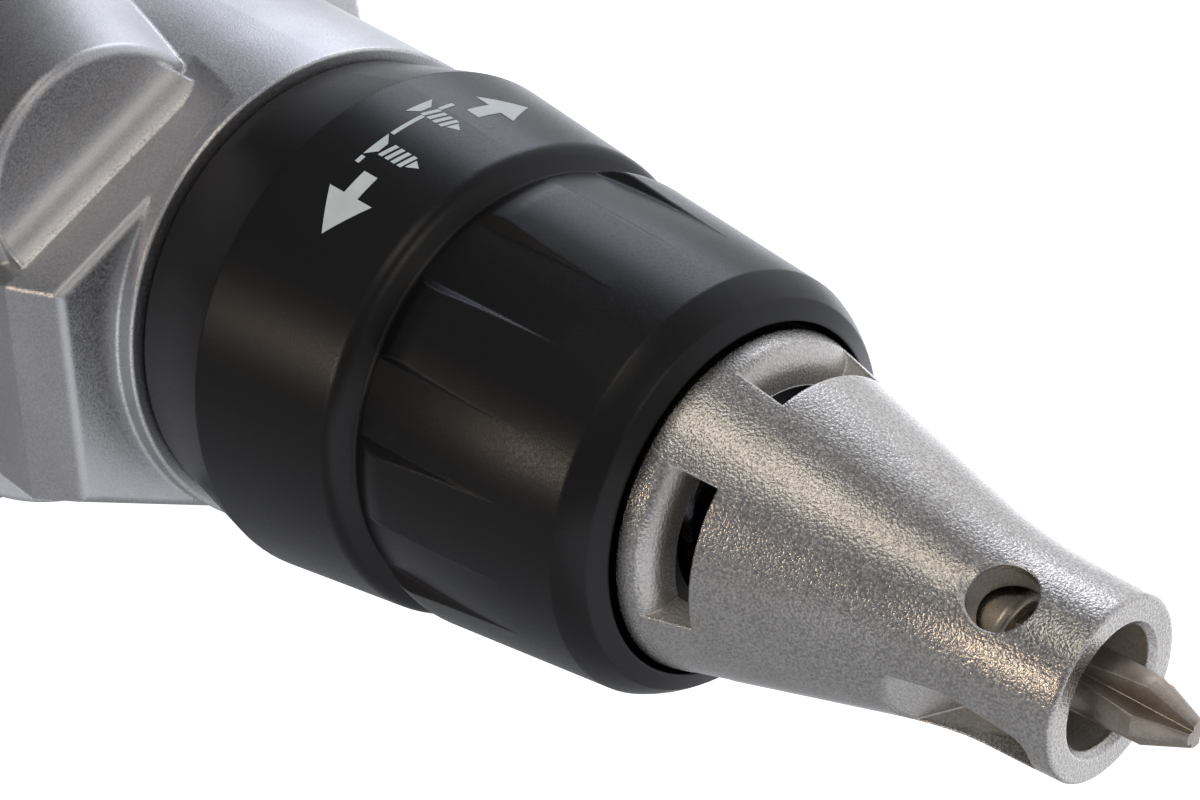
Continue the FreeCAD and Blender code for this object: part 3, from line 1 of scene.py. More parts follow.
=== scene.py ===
import json
import math
import bpy
import bmesh
from mathutils import Matrix, Vector


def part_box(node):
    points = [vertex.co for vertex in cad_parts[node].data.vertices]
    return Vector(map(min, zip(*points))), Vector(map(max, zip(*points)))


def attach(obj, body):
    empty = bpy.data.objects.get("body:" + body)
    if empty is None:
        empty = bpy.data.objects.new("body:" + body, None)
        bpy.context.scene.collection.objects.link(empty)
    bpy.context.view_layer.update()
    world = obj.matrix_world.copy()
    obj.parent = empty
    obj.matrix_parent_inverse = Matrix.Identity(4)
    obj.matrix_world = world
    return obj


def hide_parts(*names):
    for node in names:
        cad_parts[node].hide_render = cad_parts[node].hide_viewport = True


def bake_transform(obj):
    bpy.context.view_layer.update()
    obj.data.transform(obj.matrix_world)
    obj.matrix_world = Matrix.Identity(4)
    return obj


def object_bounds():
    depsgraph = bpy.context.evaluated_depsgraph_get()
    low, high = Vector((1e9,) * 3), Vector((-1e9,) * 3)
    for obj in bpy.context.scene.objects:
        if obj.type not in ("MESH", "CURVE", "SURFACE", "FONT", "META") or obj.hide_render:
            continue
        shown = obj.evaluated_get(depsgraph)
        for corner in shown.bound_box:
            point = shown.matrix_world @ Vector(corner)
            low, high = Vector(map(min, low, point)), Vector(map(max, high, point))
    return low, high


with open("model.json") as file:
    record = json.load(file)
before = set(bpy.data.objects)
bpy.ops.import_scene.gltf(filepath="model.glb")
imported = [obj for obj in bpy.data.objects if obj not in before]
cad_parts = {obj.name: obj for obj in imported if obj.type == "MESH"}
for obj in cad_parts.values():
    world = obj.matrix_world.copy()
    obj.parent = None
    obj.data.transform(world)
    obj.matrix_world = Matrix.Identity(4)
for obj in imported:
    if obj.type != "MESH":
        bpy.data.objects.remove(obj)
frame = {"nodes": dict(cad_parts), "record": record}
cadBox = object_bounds()
nodes = frame["nodes"]
scene = bpy.context.scene
scene.view_settings.view_transform = "Standard"
mm = 0.001
print("frame loaded:", len(nodes), "nodes")

# camera at the photograph's angle, close to the nose
camera = {
    "place": (0.08249, -0.13563, 0.11254),
    "right": (0.6941, 0.7199, 0.0),
    "up": (-0.3526, 0.3400, 0.8718),
    "lens": 72.0,
    "sensor": 36.0,
    "near": 0.01,
    "far": 20.0,
}


def makeCamera(s):
    data = bpy.data.cameras.new("photoCamera")
    data.lens = s["lens"]
    data.sensor_width = s["sensor"]
    data.clip_start = s["near"]
    data.clip_end = s["far"]
    made = bpy.data.objects.new("photoCamera", data)
    scene.collection.objects.link(made)
    right = Vector(s["right"]).normalized()
    up = Vector(s["up"])
    up = (up - right * up.dot(right)).normalized()
    turn = Matrix((right, up, right.cross(up))).transposed().to_4x4()
    made.matrix_world = Matrix.Translation(s["place"]) @ turn
    scene.camera = made


makeCamera(camera)
print("camera set")


# the sRGB curve, alpha 1
def linear(hexColour):
    parts = [int(hexColour[i:i + 2], 16) / 255 for i in (1, 3, 5)]
    return [c / 12.92 if c <= 0.04045 else ((c + 0.055) / 1.055) ** 2.4
            for c in parts] + [1.0]


# a Mix node's sockets go by number: 0 factor, 2 and 3 values, 6 and 7 colours
def addNode(tree, kind, values=None, links=None, **settings):
    node = tree.nodes.new(kind)
    for name, value in settings.items():
        setattr(node, name, value)
    for name, value in (values or {}).items():
        node.inputs[name].default_value = value
    for name, source in (links or {}).items():
        tree.links.new(source, node.inputs[name])
    return node


# one finish per material slot, sizes in millimetres
# blasted and moulded grain is drawn a little coarse, at about 0.2 mm or more, so that it shows
finishes = {
    # die-cast aluminium, shot-blasted: pale grey, tiny dents all over, edges peened bright and
    # given a painted highlight
    "cast_alloy": dict(
        name="dieCastAluminiumShotBlasted", colour="#DADADB", shade="#CBCBCD", patch=9.0,
        grain=0.24, depth=0.016, fine=0.14, fineDepth=0.006, speckle=0.18,
        rough=(0.36, 0.50), metallic=1.0,
        edge=0.65, edgeColour="#FFFEFB", edgeRough=0.26, ragged=True),
    # die-cast zinc, tumbled: satin grain that glitters where a lamp catches it
    "cast_zinc": dict(
        name="dieCastZincTumbled", colour="#DBD7D2", shade="#CDC9C3", patch=7.0,
        grain=0.24, depth=0.056, fine=0.12, fineDepth=0.008, speckle=0.42,
        rough=(0.18, 0.30), metallic=1.0,
        edge=0.3, edgeColour="#F2EFEA", edgeRough=0.22, scratch=True,
        # the cone's skin as two points (X, radius), for walls cut below it that stay rough and get
        # painted light, and the stretch of X at its foot, where painted shade goes
        cone=((-39.2, 16.35), (-11.85, 8.82)), wallRough=0.50, wallPaintedLight=0.38,
        foot=(-39.2, -37.8), footPaintedShade=0.22),
    # glass-filled nylon, moulded and spark-textured: deep black with a soft brownish sheen
    "black_nylon": dict(
        name="glassNylonMoulded", colour="#0B0A0B", shade="#080708", patch=14.0,
        grain=0.22, depth=0.006, speckle=0.12,
        rough=(0.28, 0.38), ior=1.53, gloss=0.34, edge=0.4, edgeColour="#1C1B1C"),
    # acetal, turned: even dark grey, slightly waxy
    "sleeve_nylon": dict(
        name="acetalTurned", colour="#242425", shade="#1E1E1F", patch=10.0,
        grain=0.25, depth=0.004, rough=(0.38, 0.46), ior=1.48, lines=0.25, linesDepth=0.003),
    # high-carbon wire, cold drawn: blue-grey, a little mottled
    "spring_steel": dict(
        name="springWireDrawn", colour="#8E9094", shade="#75777C", patch=3.0,
        grain=0.10, depth=0.002, rough=(0.26, 0.38), metallic=1.0),
    # chrome steel, ground: bright, fine circular marks
    "bearing_steel": dict(
        name="chromeSteelGround", colour="#C9CBCD", shade="#B7B9BC", patch=6.0,
        grain=0.12, depth=0.001, rough=(0.14, 0.24), metallic=1.0, lines=0.18, linesDepth=0.001),
    # tool steel, bead-blasted after milling: brown-grey, ground bright on its ridges, with a
    # painted highlight there too
    "tool_steel": dict(
        name="toolSteelBeadBlasted", colour="#C8BCAF", shade="#AA9E92", patch=2.6,
        grain=0.18, depth=0.016, speckle=0.2, rough=(0.36, 0.48), metallic=1.0,
        edge=0.18, edgeColour="#E0D9D0", edgeRough=0.2),
    # free-cutting steel, turned: warm grey with feed rings
    "holder_steel": dict(
        name="steelTurned", colour="#C6BBAC", shade="#AA9F92", patch=3.5,
        grain=0.15, depth=0.002, rough=(0.24, 0.36), metallic=1.0, lines=0.25, linesDepth=0.0012),
    # neodymium magnet, nickel plated: mirror-like and slightly yellow
    "magnet_nickel": dict(
        name="magnetNickelPlated", colour="#C8C2B4", shade="#BBB4A5", patch=2.0,
        grain=0.10, depth=0.001, rough=(0.12, 0.2), metallic=1.0),
    # case-hardened steel, ground: clean grey with fine rings
    "spindle_steel": dict(
        name="hardenedSteelGround", colour="#ABADB0", shade="#999B9F", patch=6.0,
        grain=0.12, depth=0.001, rough=(0.18, 0.30), metallic=1.0, lines=0.22, linesDepth=0.002),
    # oil-filled bronze, sintered: dull brown-gold and full of pores
    "sinter_bronze": dict(
        name="bronzeSintered", colour="#9C7A45", shade="#80632F", patch=2.0,
        grain=0.18, depth=0.008, speckle=0.25, rough=(0.42, 0.58), metallic=1.0),
    # alloy steel, hobbed and hardened: dark grey, oily
    "gear_steel": dict(
        name="gearSteelHobbed", colour="#85878B", shade="#6C6E73", patch=4.0,
        grain=0.16, depth=0.003, rough=(0.20, 0.34), metallic=1.0,
        edge=0.12, edgeColour="#B4B6BA"),
    # steel screw, zinc plated and passivated: grey-blue with a faint yellow cast
    "screw_steel": dict(
        name="screwZincPlated", colour="#A6A79F", shade="#8F9191", patch=1.8,
        grain=0.14, depth=0.002, rough=(0.24, 0.38), metallic=1.0,
        edge=0.15, edgeColour="#C9CAC6"),
    # nylon, moulded thin: dark and plain, with faint clouds where it flowed
    "fan_nylon": dict(
        name="nylonMouldedThin", colour="#2B2B2C", shade="#232324", patch=8.0,
        grain=0.35, depth=0.004, rough=(0.36, 0.48), ior=1.53),
    # electrical sheet, stamped and stacked: grey-blue edges in even lines
    "lamination_steel": dict(
        name="laminationStacked", colour="#7A7D82", shade="#5F6267", patch=5.0,
        grain=0.20, depth=0.003, rough=(0.34, 0.5), metallic=1.0, lines=0.5, linesDepth=0.04),
    # copper wire, enamelled and wound: amber brown under varnish, strand beside strand
    "copper_winding": dict(
        name="copperWireEnamelled", colour="#B06A34", shade="#8B4C20", patch=3.0,
        grain=0.3, depth=0.006, rough=(0.20, 0.34), metallic=1.0, lines=0.6, linesDepth=0.12),
    # hard copper, turned: bright rings with darker patches
    "commutator_copper": dict(
        name="copperTurned", colour="#C98A60", shade="#A4673F", patch=4.0,
        grain=0.12, depth=0.002, rough=(0.18, 0.3), metallic=1.0, lines=0.3, linesDepth=0.004),
    # electrographite, pressed: matt grey-black, powdery
    "carbon": dict(
        name="graphitePressed", colour="#2C2C2E", shade="#222224", patch=1.5,
        grain=0.12, depth=0.004, rough=(0.5, 0.62), ior=1.6),
    # brass strip, folded: clear yellow, brighter along its bends from wear and a painted highlight
    "brass_sheet": dict(
        name="brassStripFolded", colour="#C5A25A", shade="#AC8A45", patch=5.0,
        grain=0.15, depth=0.002, rough=(0.2, 0.34), metallic=1.0,
        edge=0.15, edgeColour="#DCC287"),
    # glass-filled nylon, spark-eroded mould: charcoal with a leathery fine grain
    "shell_nylon": dict(
        name="glassNylonSparkTextured", colour="#37393C", shade="#303235", patch=26.0,
        grain=0.55, depth=0.022, fine=0.2, fineDepth=0.006, speckle=0.10,
        rough=(0.46, 0.60), ior=1.53, edge=0.5, edgeColour="#46484B"),
    # thermoplastic rubber, overmoulded: dull black with a pebbled skin
    "grip_rubber": dict(
        name="rubberOvermoulded", colour="#1A1A1B", shade="#151516", patch=16.0,
        grain=0.9, depth=0.07, fine=0.25, fineDepth=0.008,
        rough=(0.60, 0.74), ior=1.5, edge=0.4, edgeColour="#262627"),
    # phenolic, pressed: brown-black and slightly mottled
    "switch_plastic": dict(
        name="phenolicPressed", colour="#2A2725", shade="#211F1D", patch=5.0,
        grain=0.3, depth=0.004, speckle=0.1, rough=(0.34, 0.46), ior=1.6),
    # ABS, moulded in a polished tool: smooth black, clear lamp reflections
    "trigger_plastic": dict(
        name="absMouldedPolished", colour="#1D1D1F", shade="#18181A", patch=12.0,
        grain=0.5, depth=0.003, rough=(0.22, 0.32), ior=1.54, edge=0.3, edgeColour="#2B2B2D"),
    # ABS, moulded: mid grey, satin
    "dial_plastic": dict(
        name="absMouldedSatin", colour="#808388", shade="#757980", patch=8.0,
        grain=0.3, depth=0.006, rough=(0.38, 0.5), ior=1.54, edge=0.2, edgeColour="#989BA0"),
    # PVC, moulded: soft black, faintly waxy
    "gland_rubber": dict(
        name="pvcMouldedSoft", colour="#1C1C1D", shade="#161617", patch=10.0,
        grain=0.4, depth=0.010, rough=(0.48, 0.6), ior=1.53, edge=0.4, edgeColour="#28282A"),
    # spring steel strip, zinc plated: bright grey, scratched, with scuffed edges that also carry a
    # painted highlight
    "hook_steel": dict(
        name="steelStripZincPlated", colour="#B4B6B8", shade="#9EA0A3", patch=9.0,
        grain=0.2, depth=0.003, rough=(0.24, 0.4), metallic=1.0,
        edge=0.3, edgeColour="#D2D4D5", scratch=True),
    # two-pack ink, pad printed: thin pale grey film, slightly uneven
    "pad_print": dict(
        name="inkPadPrinted", colour="#C3CBCC", shade="#B7C0C2", patch=3.0,
        grain=0.2, depth=0.002, rough=(0.42, 0.55), ior=1.5),
}

# what all finishes share
surface = {
    "patchDetail": 3.0, "grainDetail": 1.5,
    "usual": {"From Min": 0.3, "From Max": 0.7},         # where most of a noise lies
    "hollows": {"From Min": 0.35, "From Max": 0.65},
    "wall": {"From Min": 0.1 * mm, "From Max": 0.4 * mm},   # depth below the cone's skin
    # how well the rounded normal agrees with the face, and how far a corner is rubbed and painted
    # bright
    "corner": {"From Min": 0.995, "From Max": 0.90, "To Min": 0.0, "To Max": 0.8},
    "cornerSamples": 6,
    "ragged": {"From Min": 0.30, "From Max": 0.50},
    "waveLength": 0.314, "waveBend": 0.3,                # a wave's length at scale 1
    "scratch": {"From Min": 0.70, "From Max": 0.74},
    "scratchTurn": (0.3, 0.5, 0.4), "scratchThin": (1.0, 9.0, 9.0),
    "scratchLength": 6.0, "scratchDetail": 2.0, "scratchDepth": 0.006,
}


# walls cut into the cone stay rough as cast and are given painted light, and painted shade darkens
# its foot beside the collar
def coneRoughWallsAndPaintedLight(tree, s, place, colour, rough):
    (rearX, rearR), (frontX, frontR) = s["cone"]
    spot = addNode(tree, "ShaderNodeSeparateXYZ", links={0: place}).outputs
    skin = addNode(tree, "ShaderNodeMapRange",
                   {"From Min": rearX * mm, "From Max": frontX * mm,
                    "To Min": rearR * mm, "To Max": frontR * mm},
                   {"Value": spot["X"]}, clamp=False).outputs[0]
    across = addNode(tree, "ShaderNodeCombineXYZ",
                     links={"Y": spot["Y"], "Z": spot["Z"]}).outputs[0]
    far = addNode(tree, "ShaderNodeVectorMath", links={0: across},
                  operation="LENGTH").outputs["Value"]
    under = addNode(tree, "ShaderNodeMath", links={0: skin, 1: far},
                    operation="SUBTRACT").outputs[0]
    wall = addNode(tree, "ShaderNodeMapRange", surface["wall"], {"Value": under}).outputs[0]
    rough = addNode(tree, "ShaderNodeMix", {3: s["wallRough"]}, {0: wall, 2: rough}).outputs[0]
    # painted light: walls cut below the cone's skin are mixed towards the pale colour
    paintedWallLight = addNode(tree, "ShaderNodeMath", {1: s["wallPaintedLight"]}, {0: wall},
                    operation="MULTIPLY").outputs[0]
    colour = addNode(tree, "ShaderNodeMix", {7: linear(s["edgeColour"])},
                     {0: paintedWallLight, 6: colour}, data_type="RGBA").outputs[2]
    # painted shade: the cone's foot beside the collar is darkened
    footRear, footFront = s["foot"]
    paintedFootShade = addNode(tree, "ShaderNodeMapRange",
                   {"From Min": footRear * mm, "From Max": footFront * mm,
                    "To Min": s["footPaintedShade"], "To Max": 1.0},
                   {"Value": spot["X"]}, interpolation_type="SMOOTHSTEP").outputs[0]
    colour = addNode(tree, "ShaderNodeMix", {0: 1.0}, {6: colour, 7: paintedFootShade},
                     data_type="RGBA", blend_type="MULTIPLY").outputs[2]
    return colour, rough


# corners are rounded off and painted brighter, partly rubbed wear and partly painted highlight,
# concave creases too
def cornersWornAndHighlit(tree, s, grain, colour, rough):
    rounded = addNode(tree, "ShaderNodeBevel", {"Radius": s["edge"] * mm},
                      samples=surface["cornerSamples"]).outputs["Normal"]
    flat = addNode(tree, "ShaderNodeNewGeometry").outputs["Normal"]
    agree = addNode(tree, "ShaderNodeVectorMath", links={0: rounded, 1: flat},
                    operation="DOT_PRODUCT").outputs["Value"]
    rubbedAndHighlit = addNode(tree, "ShaderNodeMapRange", surface["corner"],
                     {"Value": agree}).outputs[0]
    if s.get("ragged"):  # the blast leaves the bright line uneven
        worn = addNode(tree, "ShaderNodeMapRange", surface["ragged"],
                       {"Value": grain}).outputs[0]
        rubbedAndHighlit = addNode(tree, "ShaderNodeMath", links={0: rubbedAndHighlit, 1: worn},
                         operation="MULTIPLY").outputs[0]
    # painted highlight with wear: the corner mask mixes the colour towards the bright one
    colour = addNode(tree, "ShaderNodeMix", {7: linear(s["edgeColour"])},
                     {0: rubbedAndHighlit, 6: colour}, data_type="RGBA").outputs[2]
    if "edgeRough" in s:
        rough = addNode(tree, "ShaderNodeMix", {3: s["edgeRough"]},
                        {0: rubbedAndHighlit, 2: rough}).outputs[0]
    return colour, rough, rounded


# grain, dents, tool lines and scratches, each with its depth
def surfaceBumps(tree, s, place, grain):
    bumps = [(grain, s["depth"])]
    if "fine" in s:
        dents = addNode(tree, "ShaderNodeTexVoronoi", {"Scale": 1 / (s["fine"] * mm)},
                        {"Vector": place}).outputs["Distance"]
        bumps.append((dents, s["fineDepth"]))
    if "lines" in s:  # rings left by the tool, or sheets and strands side by side
        waves = {"Scale": surface["waveLength"] / (s["lines"] * mm),
                 "Distortion": surface["waveBend"]}
        lines = addNode(tree, "ShaderNodeTexWave", waves, {"Vector": place},
                        bands_direction="X").outputs["Fac"]
        bumps.append((lines, s["linesDepth"]))
    if s.get("scratch"):  # short marks from handling
        turned = addNode(tree, "ShaderNodeMapping",
                         {"Rotation": surface["scratchTurn"], "Scale": surface["scratchThin"]},
                         {"Vector": place}).outputs[0]
        marks = addNode(tree, "ShaderNodeTexNoise",
                        {"Scale": 1 / (surface["scratchLength"] * mm),
                         "Detail": surface["scratchDetail"]},
                        {"Vector": turned}).outputs["Fac"]
        cut = addNode(tree, "ShaderNodeMapRange", surface["scratch"],
                      {"Value": marks}).outputs[0]
        bumps.append((cut, surface["scratchDepth"]))
    return bumps


def makeFinish(s):
    made = bpy.data.materials.new(s["name"])
    made.use_nodes = True
    tree = made.node_tree
    tree.nodes.clear()
    place = addNode(tree, "ShaderNodeTexCoord").outputs["Object"]
    patch = addNode(tree, "ShaderNodeTexNoise",
                    {"Scale": 1 / (s["patch"] * mm), "Detail": surface["patchDetail"]},
                    {"Vector": place}).outputs["Fac"]
    grain = addNode(tree, "ShaderNodeTexNoise",
                    {"Scale": 1 / (s["grain"] * mm), "Detail": surface["grainDetail"]},
                    {"Vector": place}).outputs["Fac"]
    tone = addNode(tree, "ShaderNodeMapRange", surface["usual"], {"Value": patch}).outputs[0]
    colour = addNode(tree, "ShaderNodeMix", {6: linear(s["colour"]), 7: linear(s["shade"])},
                     {0: tone}, data_type="RGBA").outputs[2]
    if "speckle" in s:  # the grain's hollows are darker than its tops
        dark = addNode(tree, "ShaderNodeMapRange",
                       {**surface["hollows"], "To Min": 1 - s["speckle"], "To Max": 1.0},
                       {"Value": grain}).outputs[0]
        colour = addNode(tree, "ShaderNodeMix", {0: 1.0}, {6: colour, 7: dark},
                         data_type="RGBA", blend_type="MULTIPLY").outputs[2]
    low, high = s["rough"]
    rough = addNode(tree, "ShaderNodeMapRange",
                    {**surface["usual"], "To Min": low, "To Max": high},
                    {"Value": grain}).outputs[0]
    if "cone" in s:
        colour, rough = coneRoughWallsAndPaintedLight(tree, s, place, colour, rough)
    normal = None
    if "edge" in s:
        colour, rough, normal = cornersWornAndHighlit(tree, s, grain, colour, rough)
    for height, depth in surfaceBumps(tree, s, place, grain):
        links = {"Height": height}
        if normal is not None:
            links["Normal"] = normal
        normal = addNode(tree, "ShaderNodeBump", {"Strength": 1.0, "Distance": depth * mm},
                         links).outputs[0]
    values = {"Metallic": s.get("metallic", 0.0)}
    if "ior" in s:
        values["IOR"] = s["ior"]
    if "gloss" in s:  # a fine texture swallows part of the reflection
        values["Specular IOR Level"] = s["gloss"]
    shader = addNode(tree, "ShaderNodeBsdfPrincipled", values,
                     {"Base Color": colour, "Roughness": rough, "Normal": normal})
    addNode(tree, "ShaderNodeOutputMaterial", links={"Surface": shader.outputs[0]})
    return made


finishOf = {slot: makeFinish(s) for slot, s in finishes.items()}
for row in frame["record"]["subparts"]:
    data = nodes[row["node"]].data
    data.materials.clear()
    data.materials.append(finishOf[row["material_slot"]])
print("finishes made:", len(finishOf))


# coils between the two bodies they push apart, each copied whole in place of its part
pushSprings = {
    # node: the body at the coil's low end, the body at its high end, the axis it lies on
    "trigger_spring": ("tool_body", "trigger_block", 0),
    "lock_spring": ("tool_body", "lock", 1),
    "clutch_spring": ("tool_body", "spindle_slide", 0),
}


def makePushSpring(node, lowBody, highBody, axis):
    made = bpy.data.objects.new(node + "Coil", nodes[node].data.copy())
    scene.collection.objects.link(made)
    low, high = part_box(node)
    start = (low + high) / 2
    end = start.copy()
    start[axis] = low[axis]
    end[axis] = high[axis]
    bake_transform(made)
    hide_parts(node)


for node, settings in pushSprings.items():
    makePushSpring(node, *settings)
print("push springs made:", len(pushSprings))


# printed depth sign on the collar, in millimetres
depthSign = {
    "middleX": -77.0, "middleTurn": 11.0,     # along the axis, and degrees from the crown
    "frontX": -68.6, "frontR": 24.2, "rearX": -85.3, "rearR": 26.75,   # the band below it
    "film": 0.03, "step": 0.35,               # half the ink's thickness, a slice's width
    # an arrow each way
    "tip": 13.6, "headBase": 9.2, "headHalf": 2.7, "stemEnd": 6.4, "stemHalf": 0.85,
    # two screws, one flush and one proud
    "screwAt": 3.3, "headWide": 1.6, "headDeep": 1.0, "shankHalf": 0.62, "screwLen": 5.4,
    "proud": 1.5, "pointLeft": 0.55, "pointRight": 0.85, "pointFar": 0.35,
    "threads": 4, "threadFrom": 1.25, "threadStep": 0.82, "threadOut": 0.3,
    "threadLean": 0.45, "threadThick": 0.5,
    # the board's face, left out where the screws go in
    "boardAt": -2.3, "boardHalf": 0.24, "boardRuns": ((-6.0, -4.3), (-2.3, 1.5), (5.1, 6.0)),
}


def signOutlines(s):
    shapes = []
    for side in (1, -1):
        tip, base, end = side * s["tip"], side * s["headBase"], side * s["stemEnd"]
        head, stem = s["headHalf"], s["stemHalf"]
        shapes.append([(tip, 0), (base, head), (base, -head)])
        shapes.append([(base, stem), (end, stem), (end, -stem), (base, -stem)])
        middle = side * s["screwAt"]
        top = s["boardAt"] - s["boardHalf"] - (s["proud"] if side < 0 else 0.0)
        wide, half, neck = s["headWide"], s["shankHalf"], top + s["headDeep"]
        shapes.append([(middle - wide, top), (middle + wide, top),
                       (middle + half, neck), (middle - half, neck)])
        left, right = middle - half - s["threadOut"], middle + half + s["threadOut"]
        for k in range(s["threads"]):  # threads as slanted strokes
            start = top + s["threadFrom"] + s["threadStep"] * k
            lean, thick = start + s["threadLean"], s["threadThick"]
            shapes.append([(left, lean), (right, start),
                           (right, start + thick), (left, lean + thick)])
        foot = top + s["screwLen"]
        shapes.append([(middle - half, foot - s["pointLeft"]),
                       (middle + half, foot - s["pointRight"]), (middle, foot + s["pointFar"])])
    low, high = s["boardAt"] - s["boardHalf"], s["boardAt"] + s["boardHalf"]
    for a, b in s["boardRuns"]:
        shapes.append([(a, low), (b, low), (b, high), (a, high)])
    return shapes


def makeDepthSign(s):
    bm = bmesh.new()
    for outline in signOutlines(s):
        bm.faces.new([bm.verts.new((a, b, 0)) for a, b in outline])
    cuts = int(2 * s["tip"] / s["step"])
    for k in range(1, cuts):  # slices, so that the film bends with the band
        at = -s["tip"] + k * s["step"]
        bmesh.ops.bisect_plane(bm, geom=bm.verts[:] + bm.edges[:] + bm.faces[:],
                               plane_co=(at, 0, 0), plane_no=(1, 0, 0))
    bmesh.ops.recalc_face_normals(bm, faces=bm.faces)
    for face in bm.faces:
        if face.normal.z < 0:
            face.normal_flip()
    grown = bmesh.ops.extrude_face_region(bm, geom=bm.faces[:])
    for vert in [g for g in grown["geom"] if isinstance(g, bmesh.types.BMVert)]:
        vert.co.z = 1.0
    # wrapped on the band: Y runs along the axis, X round it, Z through the ink
    slope = (s["rearR"] - s["frontR"]) / (s["rearX"] - s["frontX"])
    meanR = s["frontR"] + slope * (s["middleX"] - s["frontX"])
    for vert in bm.verts:
        x = s["middleX"] + vert.co.y
        r = s["frontR"] + slope * (x - s["frontX"]) + s["film"] * (2 * vert.co.z - 1)
        turn = math.radians(s["middleTurn"]) + vert.co.x / meanR
        vert.co = Vector((x, -r * math.sin(turn), r * math.cos(turn))) * mm
    bmesh.ops.recalc_face_normals(bm, faces=bm.faces)
    data = bpy.data.meshes.new("depthSign")
    bm.to_mesh(data)
    bm.free()
    made = bpy.data.objects.new("depthSign", data)
    scene.collection.objects.link(made)
    data.materials.append(finishOf["pad_print"])
    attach(made, "collar")


makeDepthSign(depthSign)
print("depth sign printed")

# pale floor, white surround and four soft lamps, in metres
studio = {
    "floorHalf": 1.5, "floorGap": 0.0005, "floorColour": "#E9E9E9", "floorLift": 0.62,
    # how bright the floor's painted reflection is, painted shade under and to the rear, painted
    # light ahead and behind, and where one part runs into the next
    "floorRear": 0.08, "floorUnder": 0.40, "floorAhead": 0.98, "floorBehind": 1.95,
    "underX": {"From Min": -0.9, "From Max": -0.25},
    "aheadX": {"From Min": -0.02, "From Max": 0.16},
    "behindY": {"From Min": 0.04, "From Max": 0.26},
    # how bright gloss shows the room and its wall, by direction
    "roomRear": 0.06, "roomSide": 0.26, "wall": 0.98, "wallColour": "#F6F8FF",
    "roomX": {"From Min": -0.95, "From Max": -0.35},
    "wallY": {"From Min": 0.10, "From Max": 0.80},
    "ambient": 0.60,
    "lamps": (
        # name, towards, distance, size, colour, power
        ("overheadBox", (-0.06, -0.40, 0.91), 0.50, 0.22, "#FFF3E4", 0.20),
        ("sideBox", (-0.41, -0.88, 0.21), 0.45, 0.10, "#FFE9D2", 0.18),
        ("backBox", (-0.55, 0.55, 0.63), 0.60, 0.30, "#E6ECFF", 0.58),
        ("frontBox", (0.80, -0.15, 0.58), 0.50, 0.20, "#FFF1E2", 0.20),
    ),
    "aim": (-0.03, 0.0, 0.0),
}


# uncoated paper, matt: the camera sees it nearly white, with the tool's shadow on it
def makePaper(s):
    paper = bpy.data.materials.new("paperMatt")
    paper.use_nodes = True
    tree = paper.node_tree
    tree.nodes.clear()
    seen = addNode(tree, "ShaderNodeLightPath").outputs
    diffuse = addNode(tree, "ShaderNodeBsdfDiffuse",
                      {"Color": linear(s["floorColour"])}).outputs[0]
    lift = addNode(tree, "ShaderNodeMath", {1: s["floorLift"]}, {0: seen["Is Camera Ray"]},
                   operation="MULTIPLY").outputs[0]
    glow = addNode(tree, "ShaderNodeEmission", links={"Strength": lift}).outputs[0]
    shown = addNode(tree, "ShaderNodeAddShader", links={0: diffuse, 1: glow}).outputs[0]
    # metal sees a painted pattern on the paper: painted shade under the tool, darker to its rear,
    # painted light before and behind it
    spot = addNode(tree, "ShaderNodeTexCoord").outputs["Object"]
    along = addNode(tree, "ShaderNodeSeparateXYZ", links={0: spot}).outputs
    level = addNode(tree, "ShaderNodeMapRange",
                    {**s["underX"], "To Min": s["floorRear"], "To Max": s["floorUnder"]},
                    {"Value": along["X"]}).outputs[0]
    for reach, axis, bright in (("behindY", "Y", "floorBehind"), ("aheadX", "X", "floorAhead")):
        share = addNode(tree, "ShaderNodeMapRange", s[reach], {"Value": along[axis]},
                        interpolation_type="SMOOTHSTEP").outputs[0]
        level = addNode(tree, "ShaderNodeMix", {3: s[bright]}, {0: share, 2: level}).outputs[0]
    mirrored = addNode(tree, "ShaderNodeMath",
                       links={0: seen["Is Glossy Ray"], 1: seen["Is Transmission Ray"]},
                       operation="MAXIMUM").outputs[0]
    # painted reflection: the paper glows with this pattern for glossy and transmission rays only
    paintedFloorReflection = addNode(tree, "ShaderNodeEmission", {"Color": linear(s["wallColour"])},
                    {"Strength": level}).outputs[0]
    both = addNode(tree, "ShaderNodeMixShader", links={0: mirrored, 1: shown, 2: paintedFloorReflection}).outputs[0]
    addNode(tree, "ShaderNodeOutputMaterial", links={"Surface": both})
    return paper


def makeFloor(s):
    half = s["floorHalf"]
    z = cadBox[0].z - s["floorGap"]
    corners = [(-half, -half, z), (half, -half, z), (half, half, z), (-half, half, z)]
    data = bpy.data.meshes.new("floor")
    data.from_pydata(corners, [], [(0, 1, 2, 3)])
    floor = bpy.data.objects.new("floor", data)
    scene.collection.objects.link(floor)
    data.materials.append(makePaper(s))


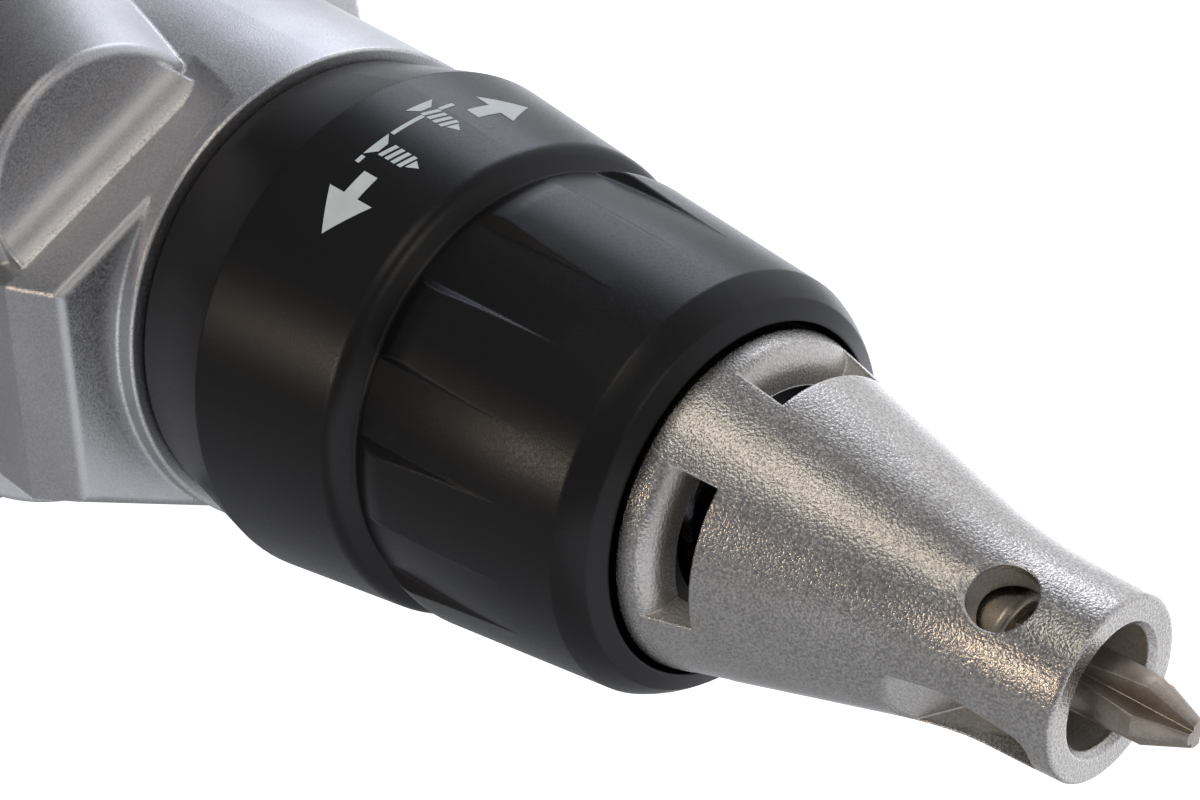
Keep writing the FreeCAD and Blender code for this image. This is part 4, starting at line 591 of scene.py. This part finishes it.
# the white wall is behind the tool, the dim room on the camera's side, darkest to the rear
def makeSurround(s):
    world = bpy.data.worlds.new("whiteSurround")
    world.use_nodes = True
    scene.world = world
    tree = world.node_tree
    tree.nodes.clear()
    seen = addNode(tree, "ShaderNodeLightPath").outputs
    way = addNode(tree, "ShaderNodeTexCoord").outputs["Generated"]
    parts = addNode(tree, "ShaderNodeSeparateXYZ", links={0: way}).outputs
    room = addNode(tree, "ShaderNodeMapRange",
                   {**s["roomX"], "To Min": s["roomRear"], "To Max": s["roomSide"]},
                   {"Value": parts["X"]}).outputs[0]
    wall = addNode(tree, "ShaderNodeMapRange", {**s["wallY"], "To Max": s["wall"]},
                   {"Value": parts["Y"], "To Min": room},
                   interpolation_type="SMOOTHSTEP").outputs[0]
    mirrored = addNode(tree, "ShaderNodeMath",
                       links={0: seen["Is Glossy Ray"], 1: seen["Is Transmission Ray"]},
                       operation="MAXIMUM").outputs[0]
    fill = addNode(tree, "ShaderNodeMix", {2: s["ambient"]}, {0: mirrored, 3: wall}).outputs[0]
    level = addNode(tree, "ShaderNodeMix", {3: 1.0},
                    {0: seen["Is Camera Ray"], 2: fill}).outputs[0]
    tint = addNode(tree, "ShaderNodeMix", {6: (1, 1, 1, 1), 7: linear(s["wallColour"])},
                   {0: mirrored}, data_type="RGBA").outputs[2]
    surround = addNode(tree, "ShaderNodeBackground",
                       links={"Color": tint, "Strength": level}).outputs[0]
    addNode(tree, "ShaderNodeOutputWorld", links={"Surface": surround})


def makeLamps(s):
    aim = Vector(s["aim"])
    for name, towards, distance, size, colour, power in s["lamps"]:
        lamp = bpy.data.lights.new(name, "AREA")
        lamp.shape = "DISK"
        lamp.size = size
        lamp.color = linear(colour)[:3]
        lamp.energy = power
        made = bpy.data.objects.new(name, lamp)
        scene.collection.objects.link(made)
        way = Vector(towards).normalized()
        made.location = aim + way * distance
        made.rotation_mode = "QUATERNION"
        made.rotation_quaternion = (-way).to_track_quat("-Z", "Y")
        made.visible_camera = False


makeFloor(studio)
makeSurround(studio)
makeLamps(studio)
print("studio set")
